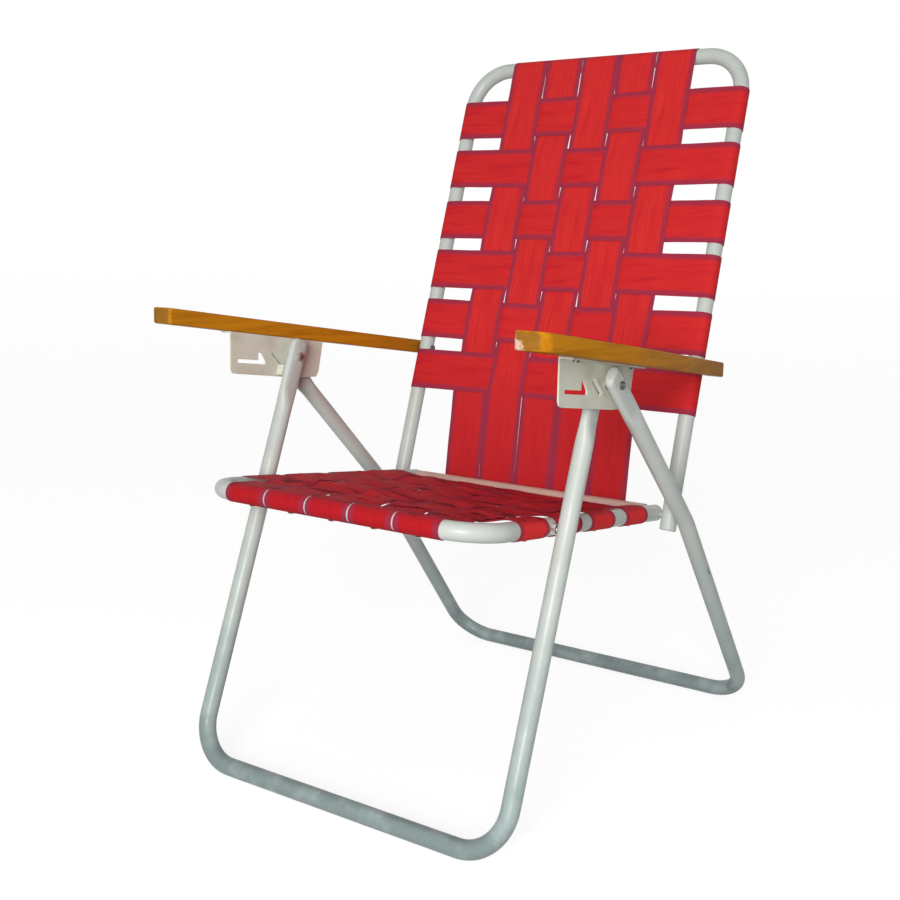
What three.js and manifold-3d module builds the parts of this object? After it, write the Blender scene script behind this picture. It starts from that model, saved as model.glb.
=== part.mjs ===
// Folding lawn chair with a tube frame, woven webbing and wooden arms.
// Millimetres, +Z up, the sitter looks along -Y, +X is the sitter's left.
// The origin is on the floor, in the middle of the chair's outline.
import * as THREE from "three";
import Module from "manifold-3d";
import { mergeVertices } from "three/addons/utils/BufferGeometryUtils.js";

// Tubes
const tubeRadius = 11;
const tubeWall = 1.2;
const tubeSides = 16;
const boreSides = 8;
const flatThick = 12;
const flatWide = 27.6;

// Fits
const restGap = 0.3;
const runGap = 0.06;

// Side by side, from the middle out: seat rail, back rail, front leg, plate, rear leg
const seatHalf = 202;
const backClearance = 2;
const frontClearance = 7.4;
const plateClearance = 0.6;
const rearClearance = 2;
const plateThick = 2;
const backHalf = seatHalf + 2 * tubeRadius + backClearance;
const frontHalf = seatHalf + 2 * tubeRadius + frontClearance;
const plateIn = frontHalf + tubeRadius + plateClearance;
const rearHalf = plateIn + plateThick + rearClearance + tubeRadius;

// Main pivot, where the front leg, the rear leg and the bracket plate meet
const mainY = -131.5;
const mainZ = 516;

// Front leg frame
const frontLean = 0.353;
const frontCorner = 56;

// Rear leg frame
const rearBendY = 78;
const rearBendZ = 320.6;
const rearSplay = 0.801;
const rearCorner = 55;
const rearBendRadius = 60;

// Seat frame, its rails run back and down from the front bar
const seatBarY = -321;
const seatBarZ = 367.8;
const seatSlope = 0.11;
const seatCorner = 50;
const seatPivotRun = 131.8;
const backPivotRun = 418.4;
const seatRailRun = 427;

// Back frame, its rails run up and back from beside the seat rails
const backFootY = 98.5;
const backFootZ = 320.6;
const backLean = 0.301;
const backLow = -19.4;
const backTop = 656.7;
const backCorner = 58;
const armScrewRise = 202.5;

// Webbing
const strapCount = 5;
const strapSlit = 1.8;
const strapEdge = 1.5;
const strapField = seatHalf - seatCorner + strapEdge;
const strapSpacing = (2 * strapField + strapSlit) / strapCount;
const strapWide = strapSpacing - strapSlit;
const strapThick = 0.9;
const topRowClearance = 54.3;
const boltRowClearance = 7.6;
const tubeRowClearance = 38.3;
const backRowLow = 168;
const backRowShares = [1, 0.798, 0.593, 0.398, 0.198, 0];
const seatRowShares = [0, 0.301, 0.638, 1];
const weaveGap = 0.35;
const strapSlack = 3;
const backRowHigh = backTop - strapWide / 2 - topRowClearance;
const backRows = backRowShares.map((share) => backRowLow + share * (backRowHigh - backRowLow));
const seatRowFirst = seatPivotRun - strapWide / 2 - boltRowClearance;
const seatRowLast = backPivotRun - strapWide / 2 - tubeRowClearance;
const seatRows = seatRowShares.map((share) => seatRowFirst + share * (seatRowLast - seatRowFirst));
const seatSag = 2;
const seatSagShares = [0.6, 1, 1, 0.7];
const sagEdge = 162;
const backStrapTurn = 0.89;

// Wooden arms, seen from above they narrow toward the rear
const armFrontY = -337;
const armRearY = 176;
const armBaseZ = 524.9;
const armSlope = 0.12;
const armThick = 20;
const armFrontIn = plateIn + 4;
const armFrontWide = 38;
const armRearIn = plateIn - 3;
const armRearWide = 21;
const armNarrowY = -120;
const armRound = 16;
const armEdge = 1.2;

// Bracket plates under the arms
const plateFrontY = -240;
const plateCornerZ = 499;
const plateLowY = -116;
const plateLowZ = 485;
const plateHeelY = -78;
const plateHeelZ = 484;
const plateNeckY = -73;
const plateNeckZ = 492;
const plateRearY = -65;
const plateRound = 6;
const flangeWide = 16;
const flangeScrewIn = 12;
const slotFrontY = -228;
const slotRearY = -177.5;
const slotFrontZ = 512.3;
const slotRearZ = 507.2;
const slotHigh = 4.8;
const notchFrontY = -191;
const notchRearY = -185.3;
const notchHigh = 10;
const tongueHighY = -164;
const tongueHighZ = 523;
const tongueLowY = -145;
const tongueLowZ = 505.7;
const tongueSlit = 4;
const tongueReach = 3.2;
const tabHighZ = 505;
const tabLowZ = 492;
const tabReach = 9;
const plateScrewFrontY = -222;
const plateScrewRearY = -87;

// Fasteners
const boltRadius = 3;
const boltHead = 6;
const boltHeadThick = 4;
const nutRadius = 6.5;
const nutThick = 4.5;
const sleeveRadius = 6.5;
const seatBoltBite = 8.6;
const armScrewRadius = 2.5;
const armScrewHead = 5;
const woodScrewRadius = 1.9;
const woodScrewHead = 4;
const woodScrewHeadThick = 2;
const woodScrewLength = 11;
const roundSides = 16;
const nutSides = 6;
const woodScrewSides = 8;

// Colours
const tubeColour = 0xdfe3df;
const plateColour = 0xc9c9b4;
const steelColour = 0xb4b7b6;
const woodColour = 0xc77a1e;
const webColour = 0xc9252a;

const wasm = await Module();
wasm.setup();

const group = new THREE.Group();
group.name = "folding_webbed_lawn_chair";

const xAxis = new THREE.Vector3(1, 0, 0);

function vec(x, y, z) {
  return new THREE.Vector3(x, y, z);
}

// Directions of the leaning frames, in the side view
function lean(y, z) {
  return vec(0, y, z).normalize();
}
const frontUp = lean(frontLean, 1);
const backUp = lean(backLean, 1);
const backFace = lean(-1, backLean);
const seatBack = lean(1, -seatSlope);
const seatUp = lean(seatSlope, 1);
const armUp = lean(armSlope, 1);

function backPoint(x, rise, depth) {
  return vec(x, backFootY, backFootZ).addScaledVector(backUp, rise).addScaledVector(backFace, depth);
}
function seatPoint(x, run, height) {
  return vec(x, seatBarY, seatBarZ).addScaledVector(seatBack, run).addScaledVector(seatUp, height);
}
function armZ(y) {
  return armBaseZ - armSlope * y;
}

// The same geometry with every face looking outward
function outward(geometry) {
  const order = Array.from(geometry.index.array);
  const corners = [vec(0, 0, 0), vec(0, 0, 0), vec(0, 0, 0)];
  let volume = 0;
  for (let i = 0; i < order.length; i += 3) {
    corners.forEach((corner, k) => {
      corner.fromBufferAttribute(geometry.attributes.position, order[i + k]);
    });
    volume += corners[0].dot(corners[1].cross(corners[2]));
  }
  return volume < 0 ? flipped(geometry) : geometry;
}
function flipped(geometry) {
  const order = Array.from(geometry.index.array);
  const turned = [];
  for (let i = 0; i < order.length; i += 3) {
    turned.push(order[i], order[i + 2], order[i + 1]);
  }
  geometry.setIndex(turned);
  return geometry;
}

// A closed geometry from corner points and triangles
function closed(points, faces) {
  const geometry = new THREE.BufferGeometry();
  const numbers = points.flatMap((p) => [p.x, p.y, p.z]);
  geometry.setAttribute("position", new THREE.Float32BufferAttribute(numbers, 3));
  geometry.setIndex(faces.flat());
  return outward(geometry);
}

// Joining and cutting
function solidOf(geometry) {
  const bare = geometry.clone();
  bare.deleteAttribute("normal");
  bare.deleteAttribute("uv");
  const merged = mergeVertices(bare, 1e-4);
  const mesh = new wasm.Mesh({
    numProp: 3,
    vertProperties: new Float32Array(merged.attributes.position.array),
    triVerts: new Uint32Array(merged.index.array),
  });
  return new wasm.Manifold(mesh);
}
function geometryOf(solid) {
  const mesh = solid.getMesh();
  const geometry = new THREE.BufferGeometry();
  geometry.setAttribute("position", new THREE.Float32BufferAttribute(mesh.vertProperties, 3));
  geometry.setIndex(Array.from(mesh.triVerts));
  return geometry;
}
function cut(body, tools) {
  let solid = solidOf(body);
  for (const tool of tools) {
    solid = solid.subtract(solidOf(tool));
  }
  return geometryOf(solid);
}
function join(bodies) {
  let solid = solidOf(bodies[0]);
  for (const body of bodies.slice(1)) {
    solid = solid.add(solidOf(body));
  }
  return geometryOf(solid);
}

// The other side's copy of a left-hand geometry
function mirrored(geometry) {
  const copy = geometry.clone();
  copy.scale(-1, 1, 1);
  return flipped(copy);
}

function addNode(name, geometry, colour, roughness, metalness) {
  const material = new THREE.MeshStandardMaterial({ color: colour, roughness, metalness });
  const mesh = new THREE.Mesh(geometry, material);
  mesh.name = name;
  group.add(mesh);
}
function addPair(name, geometry, colour, roughness, metalness) {
  const plain = geometry.index ? geometry : mergeVertices(geometry);
  addNode(`${name}_left`, plain, colour, roughness, metalness);
  addNode(`${name}_right`, mirrored(plain), colour, roughness, metalness);
}

// Round parts along X: a list of [x, radius] corners turned about a line through (y, z)
function turned(corners, y, z, sides) {
  const profile = corners.map(([x, radius]) => new THREE.Vector2(radius, x));
  const geometry = new THREE.LatheGeometry(profile, sides);
  geometry.deleteAttribute("normal");
  geometry.deleteAttribute("uv");
  geometry.rotateZ(-Math.PI / 2);
  geometry.translate(0, y, z);
  return outward(mergeVertices(geometry, 1e-4));
}
function rod(x0, x1, radius, y, z, sides = roundSides) {
  return turned([[x0, 0], [x0, radius], [x1, radius], [x1, 0]], y, z, sides);
}
function ringPart(x0, x1, radius, bore, y, z, sides = roundSides) {
  return turned([[x0, bore], [x0, radius], [x1, radius], [x1, bore], [x0, bore]], y, z, sides);
}
// The corner radius of a faceted hole whose flats clear a faceted shaft
function holeFor(radius, gap, sides = roundSides) {
  return (radius + gap) / Math.cos(Math.PI / sides);
}

// Tube paths: straight runs with rounded corners, each corner turned in equal steps
function tubePath(stations, planeNormal, steps) {
  const sections = [];
  const last = stations.length - 1;
  for (let i = 0; i <= last; i += 1) {
    const here = stations[i];
    const before = stations[Math.max(i - 1, 0)].at;
    const after = stations[Math.min(i + 1, last)].at;
    const into = here.at.clone().sub(i > 0 ? before : here.at);
    const out = after.clone().sub(here.at);
    const entry = i > 0 ? into.normalize() : out.clone().normalize();
    const leave = i < last ? out.normalize() : entry.clone();
    if (!here.radius) {
      sections.push({ at: here.at, along: entry.clone().add(leave).normalize(), ...here.shape });
      continue;
    }
    const turn = entry.angleTo(leave);
    const reach = here.radius * Math.tan(turn / 2);
    const inward = leave.clone().sub(entry).normalize();
    const centre = here.at.clone().addScaledVector(inward, here.radius / Math.cos(turn / 2));
    const spoke = here.at.clone().addScaledVector(entry, -reach).sub(centre);
    const hinge = entry.clone().cross(leave).normalize();
    const count = here.steps || steps;
    for (let k = 0; k <= count; k += 1) {
      const angle = (turn * k) / count;
      const at = spoke.clone().applyAxisAngle(hinge, angle).add(centre);
      sections.push({ at, along: entry.clone().applyAxisAngle(hinge, angle), ...here.shape });
    }
  }
  for (const section of sections) {
    let normal = planeNormal.clone();
    if (Math.abs(section.along.x) < 0.02) {
      normal = xAxis.clone().cross(section.along).normalize();
      normal.multiplyScalar(normal.dot(planeNormal) < 0 ? -1 : 1);
    }
    section.wideAxis = normal;
    section.thinAxis = section.along.clone().cross(normal).normalize();
  }
  return sections;
}

// A solid swept along the path: round, or pressed flat where wide and thin differ
function swept(sections, sides, inset) {
  const points = [];
  for (const section of sections) {
    const thin = section.thin - inset;
    const spread = section.wide - section.thin;
    for (let k = 0; k < sides; k += 1) {
      const angle = (2 * Math.PI * (k + 0.5)) / sides;
      const share = THREE.MathUtils.clamp(Math.cos(angle) * 2, -1, 1);
      const wide = thin * Math.cos(angle) + spread * share;
      const point = section.at.clone().addScaledVector(section.wideAxis, wide);
      points.push(point.addScaledVector(section.thinAxis, thin * Math.sin(angle)));
    }
  }
  const faces = [];
  for (let i = 0; i + 1 < sections.length; i += 1) {
    for (let k = 0; k < sides; k += 1) {
      const a = i * sides + k;
      const b = i * sides + ((k + 1) % sides);
      faces.push([a, b, b + sides], [a, b + sides, a + sides]);
    }
  }
  const end = (sections.length - 1) * sides;
  for (let k = 1; k + 1 < sides; k += 1) {
    faces.push([0, k + 1, k], [end, end + k, end + k + 1]);
  }
  return closed(points, faces);
}

// A leg's pressed end, as [distance past the main pivot, half width, half thickness]
const roundShape = { wide: tubeRadius, thin: tubeRadius };
const flatHalf = flatThick / 2;
const wideHalf = flatWide / 2;
const endRound = [0.45, 0.75, 0.95, 1];
const endPastShares = [1.5, 1.34, 1.08, 0.7];
const flatFoot = -45;
const roundFoot = -78;
function pressedEnd(pivot, up) {
  const stations = endPastShares.map((share, i) => ({
    at: pivot.clone().addScaledVector(up, share * wideHalf),
    shape: { wide: Math.max(wideHalf * endRound[i], flatHalf), thin: flatHalf },
  }));
  stations.push({
    at: pivot.clone().addScaledVector(up, flatFoot),
    shape: { wide: wideHalf, thin: flatHalf },
  });
  stations.push({ at: pivot.clone().addScaledVector(up, roundFoot), shape: roundShape });
  return stations;
}
function otherSide(stations) {
  return stations.map((s) => ({ ...s, at: vec(-s.at.x, s.at.y, s.at.z) })).reverse();
}

// The bore follows the tube, it stops inside pressed ends and runs out of open ends
function tube(leftStations, planeNormal, steps, boreFrom, holes) {
  const stations = [...leftStations, ...otherSide(leftStations)];
  const outer = swept(tubePath(stations, planeNormal, steps), tubeSides, 0);
  const inner = leftStations.slice(boreFrom);
  if (boreFrom === 0) {
    const first = inner[0];
    const away = first.at.clone().sub(inner[1].at).normalize();
    inner[0] = { ...first, at: first.at.clone().addScaledVector(away, tubeWall) };
  }
  const boreStations = [...inner, ...otherSide(inner)];
  const bore = swept(tubePath(boreStations, planeNormal, steps), boreSides, tubeWall);
  return cut(outer, [bore, ...holes]);
}
function bothSides(geometries) {
  return geometries.flatMap((geometry) => [geometry, mirrored(geometry)]);
}
const boltHole = holeFor(boltRadius, runGap);

// Pivot places in the side view
const seatPivot = seatPoint(0, seatPivotRun, 0);
const backPivot = seatPoint(0, backPivotRun, 0);
const armScrew = backPoint(0, armScrewRise, 0);

// A floor bar lies this high, so that its lowest corner line touches the floor
function standHeight(normal) {
  let reach = 0;
  for (let k = 0; k < tubeSides; k += 1) {
    const angle = (2 * Math.PI * (k + 0.5)) / tubeSides;
    const corner = normal.clone().applyAxisAngle(xAxis, angle);
    reach = Math.max(reach, -corner.z * tubeRadius);
  }
  return reach;
}

// Front leg frame
const frontNormal = lean(-1, frontLean);
const frontBarZ = standHeight(frontNormal);
const frontBarY = mainY - frontLean * (mainZ - frontBarZ);
const mainFront = vec(frontHalf, mainY, mainZ);
const frontStations = [
  ...pressedEnd(mainFront, frontUp),
  { at: vec(frontHalf, frontBarY, frontBarZ), radius: frontCorner, shape: roundShape },
];
const frontOut = frontHalf + tubeRadius;
const seatSide = seatHalf + tubeRadius;
const frontHoles = bothSides([
  rod(frontHalf - wideHalf, frontHalf + wideHalf, boltHole, mainY, mainZ),
  rod(seatSide, frontHalf, boltHole, seatPivot.y, seatPivot.z),
]);
const frontLegFrame = tube(frontStations, frontNormal, 6, 3, frontHoles);
addNode("front_leg_frame", frontLegFrame, tubeColour, 0.35, 0.2);

// Rear leg frame, bent where it passes the seat
const mainRear = vec(rearHalf, mainY, mainZ);
const rearUp = mainRear.clone().sub(vec(rearHalf, rearBendY, rearBendZ)).normalize();
const rearDown = lean(rearSplay, -1);
const rearNormal = xAxis.clone().cross(rearDown).normalize();
const rearBarZ = standHeight(rearNormal);
const rearBarY = rearBendY + rearSplay * (rearBendZ - rearBarZ);
const rearStations = [
  ...pressedEnd(mainRear, rearUp),
  {
    at: vec(rearHalf, rearBendY, rearBendZ),
    radius: rearBendRadius,
    steps: 1,
    shape: roundShape,
  },
  { at: vec(rearHalf, rearBarY, rearBarZ), radius: rearCorner, shape: roundShape },
];
const rearHoles = bothSides([
  rod(rearHalf - wideHalf, rearHalf + wideHalf, boltHole, mainY, mainZ),
]);
const rearLegFrame = tube(rearStations, rearNormal, 6, 3, rearHoles);
addNode("rear_leg_frame", rearLegFrame, tubeColour, 0.35, 0.2);

// Seat frame and its rear cross tube
const seatStations = [
  { at: seatPoint(seatHalf, seatRailRun, 0), shape: roundShape },
  { at: seatPoint(seatHalf, 0, 0), radius: seatCorner, shape: roundShape },
];
const railHole = (at) => rod(seatHalf - wideHalf, seatHalf + wideHalf, boltHole, at.y, at.z);
const seatFrame = tube(seatStations, seatUp, 6, 0, bothSides([railHole(seatPivot), railHole(backPivot)]));
addNode("seat_frame", seatFrame, tubeColour, 0.35, 0.2);
const crossEnd = seatHalf - tubeRadius - restGap;
const crossTube = ringPart(-crossEnd, crossEnd, tubeRadius, tubeRadius - tubeWall, backPivot.y, backPivot.z);
addNode("seat_rear_cross_tube", crossTube, tubeColour, 0.35, 0.2);

// Back frame
const backStations = [
  { at: backPoint(backHalf, backLow, 0), shape: roundShape },
  { at: backPoint(backHalf, backTop, 0), radius: backCorner, shape: roundShape },
];
const screwHole = holeFor(armScrewRadius, restGap);
const backHoles = bothSides([
  rod(backHalf - wideHalf, backHalf + wideHalf, boltHole, backPivot.y, backPivot.z),
  rod(backHalf - wideHalf, backHalf + wideHalf, screwHole, armScrew.y, armScrew.z),
]);
const backFrame = tube(backStations, backFace, 6, 0, backHoles);
addNode("back_frame", backFrame, tubeColour, 0.35, 0.2);

// Webbing: a flat band that follows a path, given in two directions of the frame
function ribbon(path, place, width) {
  const half = strapThick / 2;
  const points = [];
  for (let i = 0; i < path.length; i += 1) {
    const here = path[i];
    const into = here.clone().sub(path[Math.max(i - 1, 0)]);
    const out = path[Math.min(i + 1, path.length - 1)].clone().sub(here);
    const entry = (i > 0 ? into : out).clone().normalize();
    const leave = (i + 1 < path.length ? out : into).clone().normalize();
    const mitre = new THREE.Vector2(-entry.y - leave.y, entry.x + leave.x).normalize();
    const stretch = half / (mitre.x * -entry.y + mitre.y * entry.x);
    for (const [side, edge] of [[1, 1], [1, -1], [-1, -1], [-1, 1]]) {
      const spot = here.clone().addScaledVector(mitre, side * stretch);
      points.push(place(spot, (edge * width) / 2));
    }
  }
  const faces = [];
  for (let i = 0; i + 1 < path.length; i += 1) {
    for (let k = 0; k < 4; k += 1) {
      const a = 4 * i + k;
      const b = 4 * i + ((k + 1) % 4);
      faces.push([a, b, b + 4], [a, b + 4, a + 4]);
    }
  }
  const end = 4 * (path.length - 1);
  faces.push([0, 2, 1], [0, 3, 2], [end, end + 1, end + 2], [end, end + 2, end + 3]);
  return closed(points, faces);
}
const wrapStep = Math.PI / 6;
const wrapTurns = 7;
const underFrom = 5;
const underTurns = 3;
const wrapRadius = (tubeRadius + restGap + strapThick / 2) / Math.cos(wrapStep / 2);
const weaveRise = strapThick + weaveGap;
const strapReach = strapWide / 2 + strapSlack;
function wrap(x, y, from, steps, direction) {
  const path = [];
  for (let k = 0; k <= steps; k += 1) {
    const angle = from + direction * wrapStep * k;
    path.push(new THREE.Vector2(x + wrapRadius * Math.cos(angle), y + wrapRadius * Math.sin(angle)));
  }
  return path;
}
function bothEnds(path) {
  const other = path.map((p) => new THREE.Vector2(-p.x, p.y)).reverse();
  return [...path, ...other];
}
const quarter = Math.PI / 2;

// Straps across the back, each wrapped round both rails
backRows.forEach((row, i) => {
  const path = bothEnds(wrap(backHalf, 0, quarter - wrapTurns * wrapStep, wrapTurns, 1));
  const place = (p, side) => backPoint(p.x, row + side, p.y);
  addNode(`back_cross_strap_${i + 1}`, ribbon(path, place, strapWide), webColour, 0.6, 0);
});

// Straps across the seat, they hang a little between the rails
seatRows.forEach((row, i) => {
  const path = wrap(seatHalf, 0, quarter - (wrapTurns - 0.5) * wrapStep, wrapTurns, 1);
  path.push(new THREE.Vector2(sagEdge, wrapRadius - seatSag * seatSagShares[i]));
  const place = (p, side) => seatPoint(p.x, row + side, p.y);
  addNode(`seat_cross_strap_${i + 1}`, ribbon(bothEnds(path), place, strapWide), webColour, 0.6, 0);
});

// Straps down the back and along the seat, woven over and under the cross straps. Both pass
// the cross tube, the back straps behind it and the seat straps under it, and stop there
const strapTurn = -backStrapTurn * quarter;
const tubeFromFoot = backPivot.clone().sub(backPoint(0, 0, 0));
const backStrapEnd = new THREE.Vector2(
  tubeFromFoot.dot(backUp) + wrapRadius * Math.cos(strapTurn),
  tubeFromFoot.dot(backFace) + wrapRadius * Math.sin(strapTurn),
);
const strapNumbers = Array.from({ length: strapCount }, (_, i) => i + 1);
strapNumbers.forEach((number) => {
  const centre = strapSpacing * ((strapCount + 1) / 2 - number);
  const over = (i) => ((number + i) % 2 === 1 ? weaveRise : -weaveRise);
  const backPath = wrap(backTop, 0, quarter - wrapTurns * wrapStep, wrapTurns, 1);
  backRows.forEach((row, i) => {
    const depth = wrapRadius + over(i);
    backPath.push(new THREE.Vector2(row + strapReach, depth));
    backPath.push(new THREE.Vector2(row - strapReach, depth));
  });
  backPath.push(backStrapEnd);
  const backPlace = (p, side) => backPoint(centre + side, p.x, p.y);
  addNode(`back_long_strap_${number}`, ribbon(backPath, backPlace, strapWide), webColour, 0.6, 0);

  const seatPath = wrap(0, 0, quarter + (wrapTurns - 0.5) * wrapStep, wrapTurns, -1);
  seatRows.forEach((row, i) => {
    const height = wrapRadius - seatSag * seatSagShares[i] + over(i);
    seatPath.push(new THREE.Vector2(row - strapReach, height));
    seatPath.push(new THREE.Vector2(row + strapReach, height));
  });
  seatPath.push(...wrap(backPivotRun, 0, quarter + underFrom * wrapStep, underTurns, 1));
  const seatPlace = (p, side) => seatPoint(centre + side, p.x, p.y);
  addNode(`seat_long_strap_${number}`, ribbon(seatPath, seatPlace, strapWide), webColour, 0.6, 0);
});

// Fasteners along X, drawn for the left side
function bolt(headFace, headEnd, shankEnd, radius, head, at) {
  const shape = [[headEnd, 0], [headEnd, head], [headFace, head], [headFace, radius]];
  return turned([...shape, [shankEnd, radius], [shankEnd, 0]], at.y, at.z, roundSides);
}
const main = vec(0, mainY, mainZ);
const rearFlatOut = rearHalf + flatHalf + restGap;
const frontFlatIn = frontHalf - flatHalf - restGap;
const frontFlatOut = frontHalf + flatHalf + restGap;
const plateOut = plateIn + plateThick;
const mainEnd = frontFlatIn - nutThick - restGap;
const mainBolt = bolt(rearFlatOut, rearFlatOut + boltHeadThick, mainEnd, boltRadius, boltHead, main);
addPair("main_pivot_bolt", mainBolt, steelColour, 0.35, 0.8);
const fixedHole = holeFor(boltRadius, restGap);
const nutHole = holeFor(boltRadius, restGap, nutSides);
const nutStart = frontFlatIn - nutThick;
const mainNut = ringPart(nutStart, frontFlatIn, nutRadius, nutHole, mainY, mainZ, nutSides);
addPair("main_pivot_nut", mainNut, steelColour, 0.35, 0.8);
const innerSleeve = ringPart(frontFlatOut, plateIn - restGap, sleeveRadius, fixedHole, mainY, mainZ);
addPair("main_pivot_inner_washer", innerSleeve, steelColour, 0.35, 0.8);
const outerEnd = rearHalf - flatHalf - restGap;
const outerSleeve = ringPart(plateOut + restGap, outerEnd, sleeveRadius, fixedHole, mainY, mainZ);
addPair("main_pivot_outer_washer", outerSleeve, steelColour, 0.35, 0.8);

const railIn = seatHalf - tubeRadius - restGap;
const seatBoltEnd = frontHalf - tubeRadius + seatBoltBite;
const seatBolt = bolt(railIn, railIn - boltHeadThick, seatBoltEnd, boltRadius, boltHead, seatPivot);
addPair("seat_pivot_bolt", seatBolt, steelColour, 0.35, 0.8);
const seatSleeveEnd = frontHalf - tubeRadius - restGap;
const seatSleeve = ringPart(
  seatSide + restGap, seatSleeveEnd, sleeveRadius, fixedHole, seatPivot.y, seatPivot.z);
addPair("seat_pivot_spacer", seatSleeve, steelColour, 0.35, 0.8);

const backOut = backHalf + tubeRadius + restGap;
const backBoltEnd = backOut + nutThick + restGap;
const backRod = rod(-backBoltEnd, backBoltEnd, boltRadius, backPivot.y, backPivot.z);
addNode("back_pivot_rod", backRod, steelColour, 0.35, 0.8);
const backNut = ringPart(
  backOut, backOut + nutThick, nutRadius, nutHole, backPivot.y, backPivot.z, nutSides);
addPair("back_pivot_nut", backNut, steelColour, 0.35, 0.8);

// The screw that carries the arm's rear end stops just short of the wood
const armInAtScrew = armRearIn;
const backIn = backHalf - tubeRadius - restGap;
const armScrewSolid = bolt(
  backIn, backIn - woodScrewHeadThick, armInAtScrew - restGap, armScrewRadius, armScrewHead, armScrew);
addPair("arm_rear_screw", armScrewSolid, steelColour, 0.35, 0.8);

// Arms: an outline seen from above, given thickness and laid along the slope
function upright(shape, thickness, edge) {
  return new THREE.ExtrudeGeometry(shape, {
    depth: thickness,
    bevelEnabled: edge > 0,
    bevelThickness: edge,
    bevelSize: edge,
    bevelOffset: -edge,
    bevelSegments: 1,
    curveSegments: 4,
  });
}
const armTurn = -Math.atan(armSlope);
const armFront = armFrontY / armUp.z;
const armRear = armRearY / armUp.z;
const armFrontOut = armFrontIn + armFrontWide;
const armShape = new THREE.Shape();
armShape.moveTo(armFrontIn, armFront);
armShape.lineTo(armFrontOut - armRound, armFront);
armShape.quadraticCurveTo(armFrontOut, armFront, armFrontOut, armFront + armRound);
armShape.lineTo(armFrontOut, armNarrowY / armUp.z);
armShape.lineTo(armRearIn + armRearWide, armRear);
armShape.lineTo(armRearIn, armRear);
armShape.closePath();
const armBody = upright(armShape, armThick - 2 * armEdge, armEdge);
armBody.translate(0, 0, armEdge);
armBody.rotateX(armTurn);
armBody.translate(0, 0, armBaseZ);

// Wood screws point up, at right angles to the arm's underside
function upScrew(y, radius, head, inside) {
  const base = vec(plateIn + flangeScrewIn, y, armZ(y)).addScaledVector(armUp, -flangeDrop);
  const corners = [[-woodScrewHeadThick, 0], [-woodScrewHeadThick, head], [0, head]];
  const profile = inside
    ? [[-woodScrewLength, 0], [-woodScrewLength, radius], [woodScrewLength, radius], [woodScrewLength, 0]]
    : [...corners, [0, radius], [woodScrewLength - restGap, radius], [woodScrewLength - restGap, 0]];
  const geometry = turned(profile, 0, 0, woodScrewSides);
  geometry.rotateY(-quarter);
  geometry.rotateX(armTurn);
  geometry.translate(base.x, base.y, base.z);
  return geometry;
}
const flangeDrop = plateThick + 2 * restGap;
const screwPlaces = [plateScrewFrontY, plateScrewRearY];
const woodHole = holeFor(woodScrewRadius, restGap, woodScrewSides);
const armHoles = screwPlaces.map((y) => upScrew(y, woodHole, 0, true));
addPair("arm", cut(armBody, armHoles), woodColour, 0.45, 0);

// Bracket plates: a side view outline with its openings, then the flange and two bent lugs
function sidePiece(corners, openings, thickness, x) {
  const shape = new THREE.Shape(corners.map(([y, z]) => new THREE.Vector2(y, z)));
  openings.forEach((opening) => {
    shape.holes.push(new THREE.Path(opening.map(([y, z]) => new THREE.Vector2(y, z))));
  });
  const geometry = upright(shape, thickness, 0);
  const turn = new THREE.Matrix4().makeBasis(vec(0, 1, 0), vec(0, 0, 1), vec(1, 0, 0));
  geometry.applyMatrix4(turn);
  geometry.translate(x, 0, 0);
  return geometry;
}
const flangeTop = (y) => armZ(y) - restGap;
const flangeUnder = plateThick / armUp.z;
const plateTop = (y) => flangeTop(y) - flangeUnder / 2;
const lowSlope = (plateLowZ - plateCornerZ) / (plateLowY - plateFrontY);
const plateCorners = [
  [plateFrontY, plateTop(plateFrontY)],
  [plateFrontY, plateCornerZ + plateRound],
  [plateFrontY + 0.3 * plateRound, plateCornerZ + 0.3 * plateRound],
  [plateFrontY + plateRound, plateCornerZ + lowSlope * plateRound],
  [plateLowY, plateLowZ],
  [plateHeelY, plateHeelZ],
  [plateNeckY, plateNeckZ],
  [plateRearY, plateTop(plateRearY)],
];
const slotSlope = (slotRearZ - slotFrontZ) / (slotRearY - slotFrontY);
const slotTop = (y) => slotFrontZ + slotSlope * (y - slotFrontY) + slotHigh;
const lSlot = [
  [slotFrontY, slotFrontZ],
  [slotRearY, slotRearZ],
  [slotRearY, slotTop(slotRearY)],
  [notchRearY, slotTop(notchRearY) + notchHigh],
  [notchFrontY, slotTop(notchFrontY) + notchHigh],
  [notchFrontY, slotTop(notchFrontY)],
  [slotFrontY, slotTop(slotFrontY)],
];
// A band of given width along a slanting line, to the front of it
function slanted(y0, z0, y1, z1, width) {
  const length = Math.hypot(y1 - y0, z1 - z0);
  const dy = (width * (z1 - z0)) / length;
  const dz = (-width * (y1 - y0)) / length;
  return [[y0, z0], [y1, z1], [y1 + dy, z1 + dz], [y0 + dy, z0 + dz]];
}
const tongueLine = [tongueHighY, tongueHighZ, tongueLowY, tongueLowZ];
const tongueSlot = slanted(...tongueLine, tongueSlit);
const flat = sidePiece(plateCorners, [lSlot, tongueSlot], plateThick, plateIn);
const flangeSide = [
  [plateFrontY, flangeTop(plateFrontY)],
  [plateFrontY, flangeTop(plateFrontY) - flangeUnder],
  [plateRearY, flangeTop(plateRearY) - flangeUnder],
  [plateRearY, flangeTop(plateRearY)],
];
const flange = sidePiece(flangeSide, [], flangeWide + plateThick, plateIn);
const tongue = sidePiece(slanted(...tongueLine, -plateThick), [], plateThick + tongueReach, plateIn);
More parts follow.
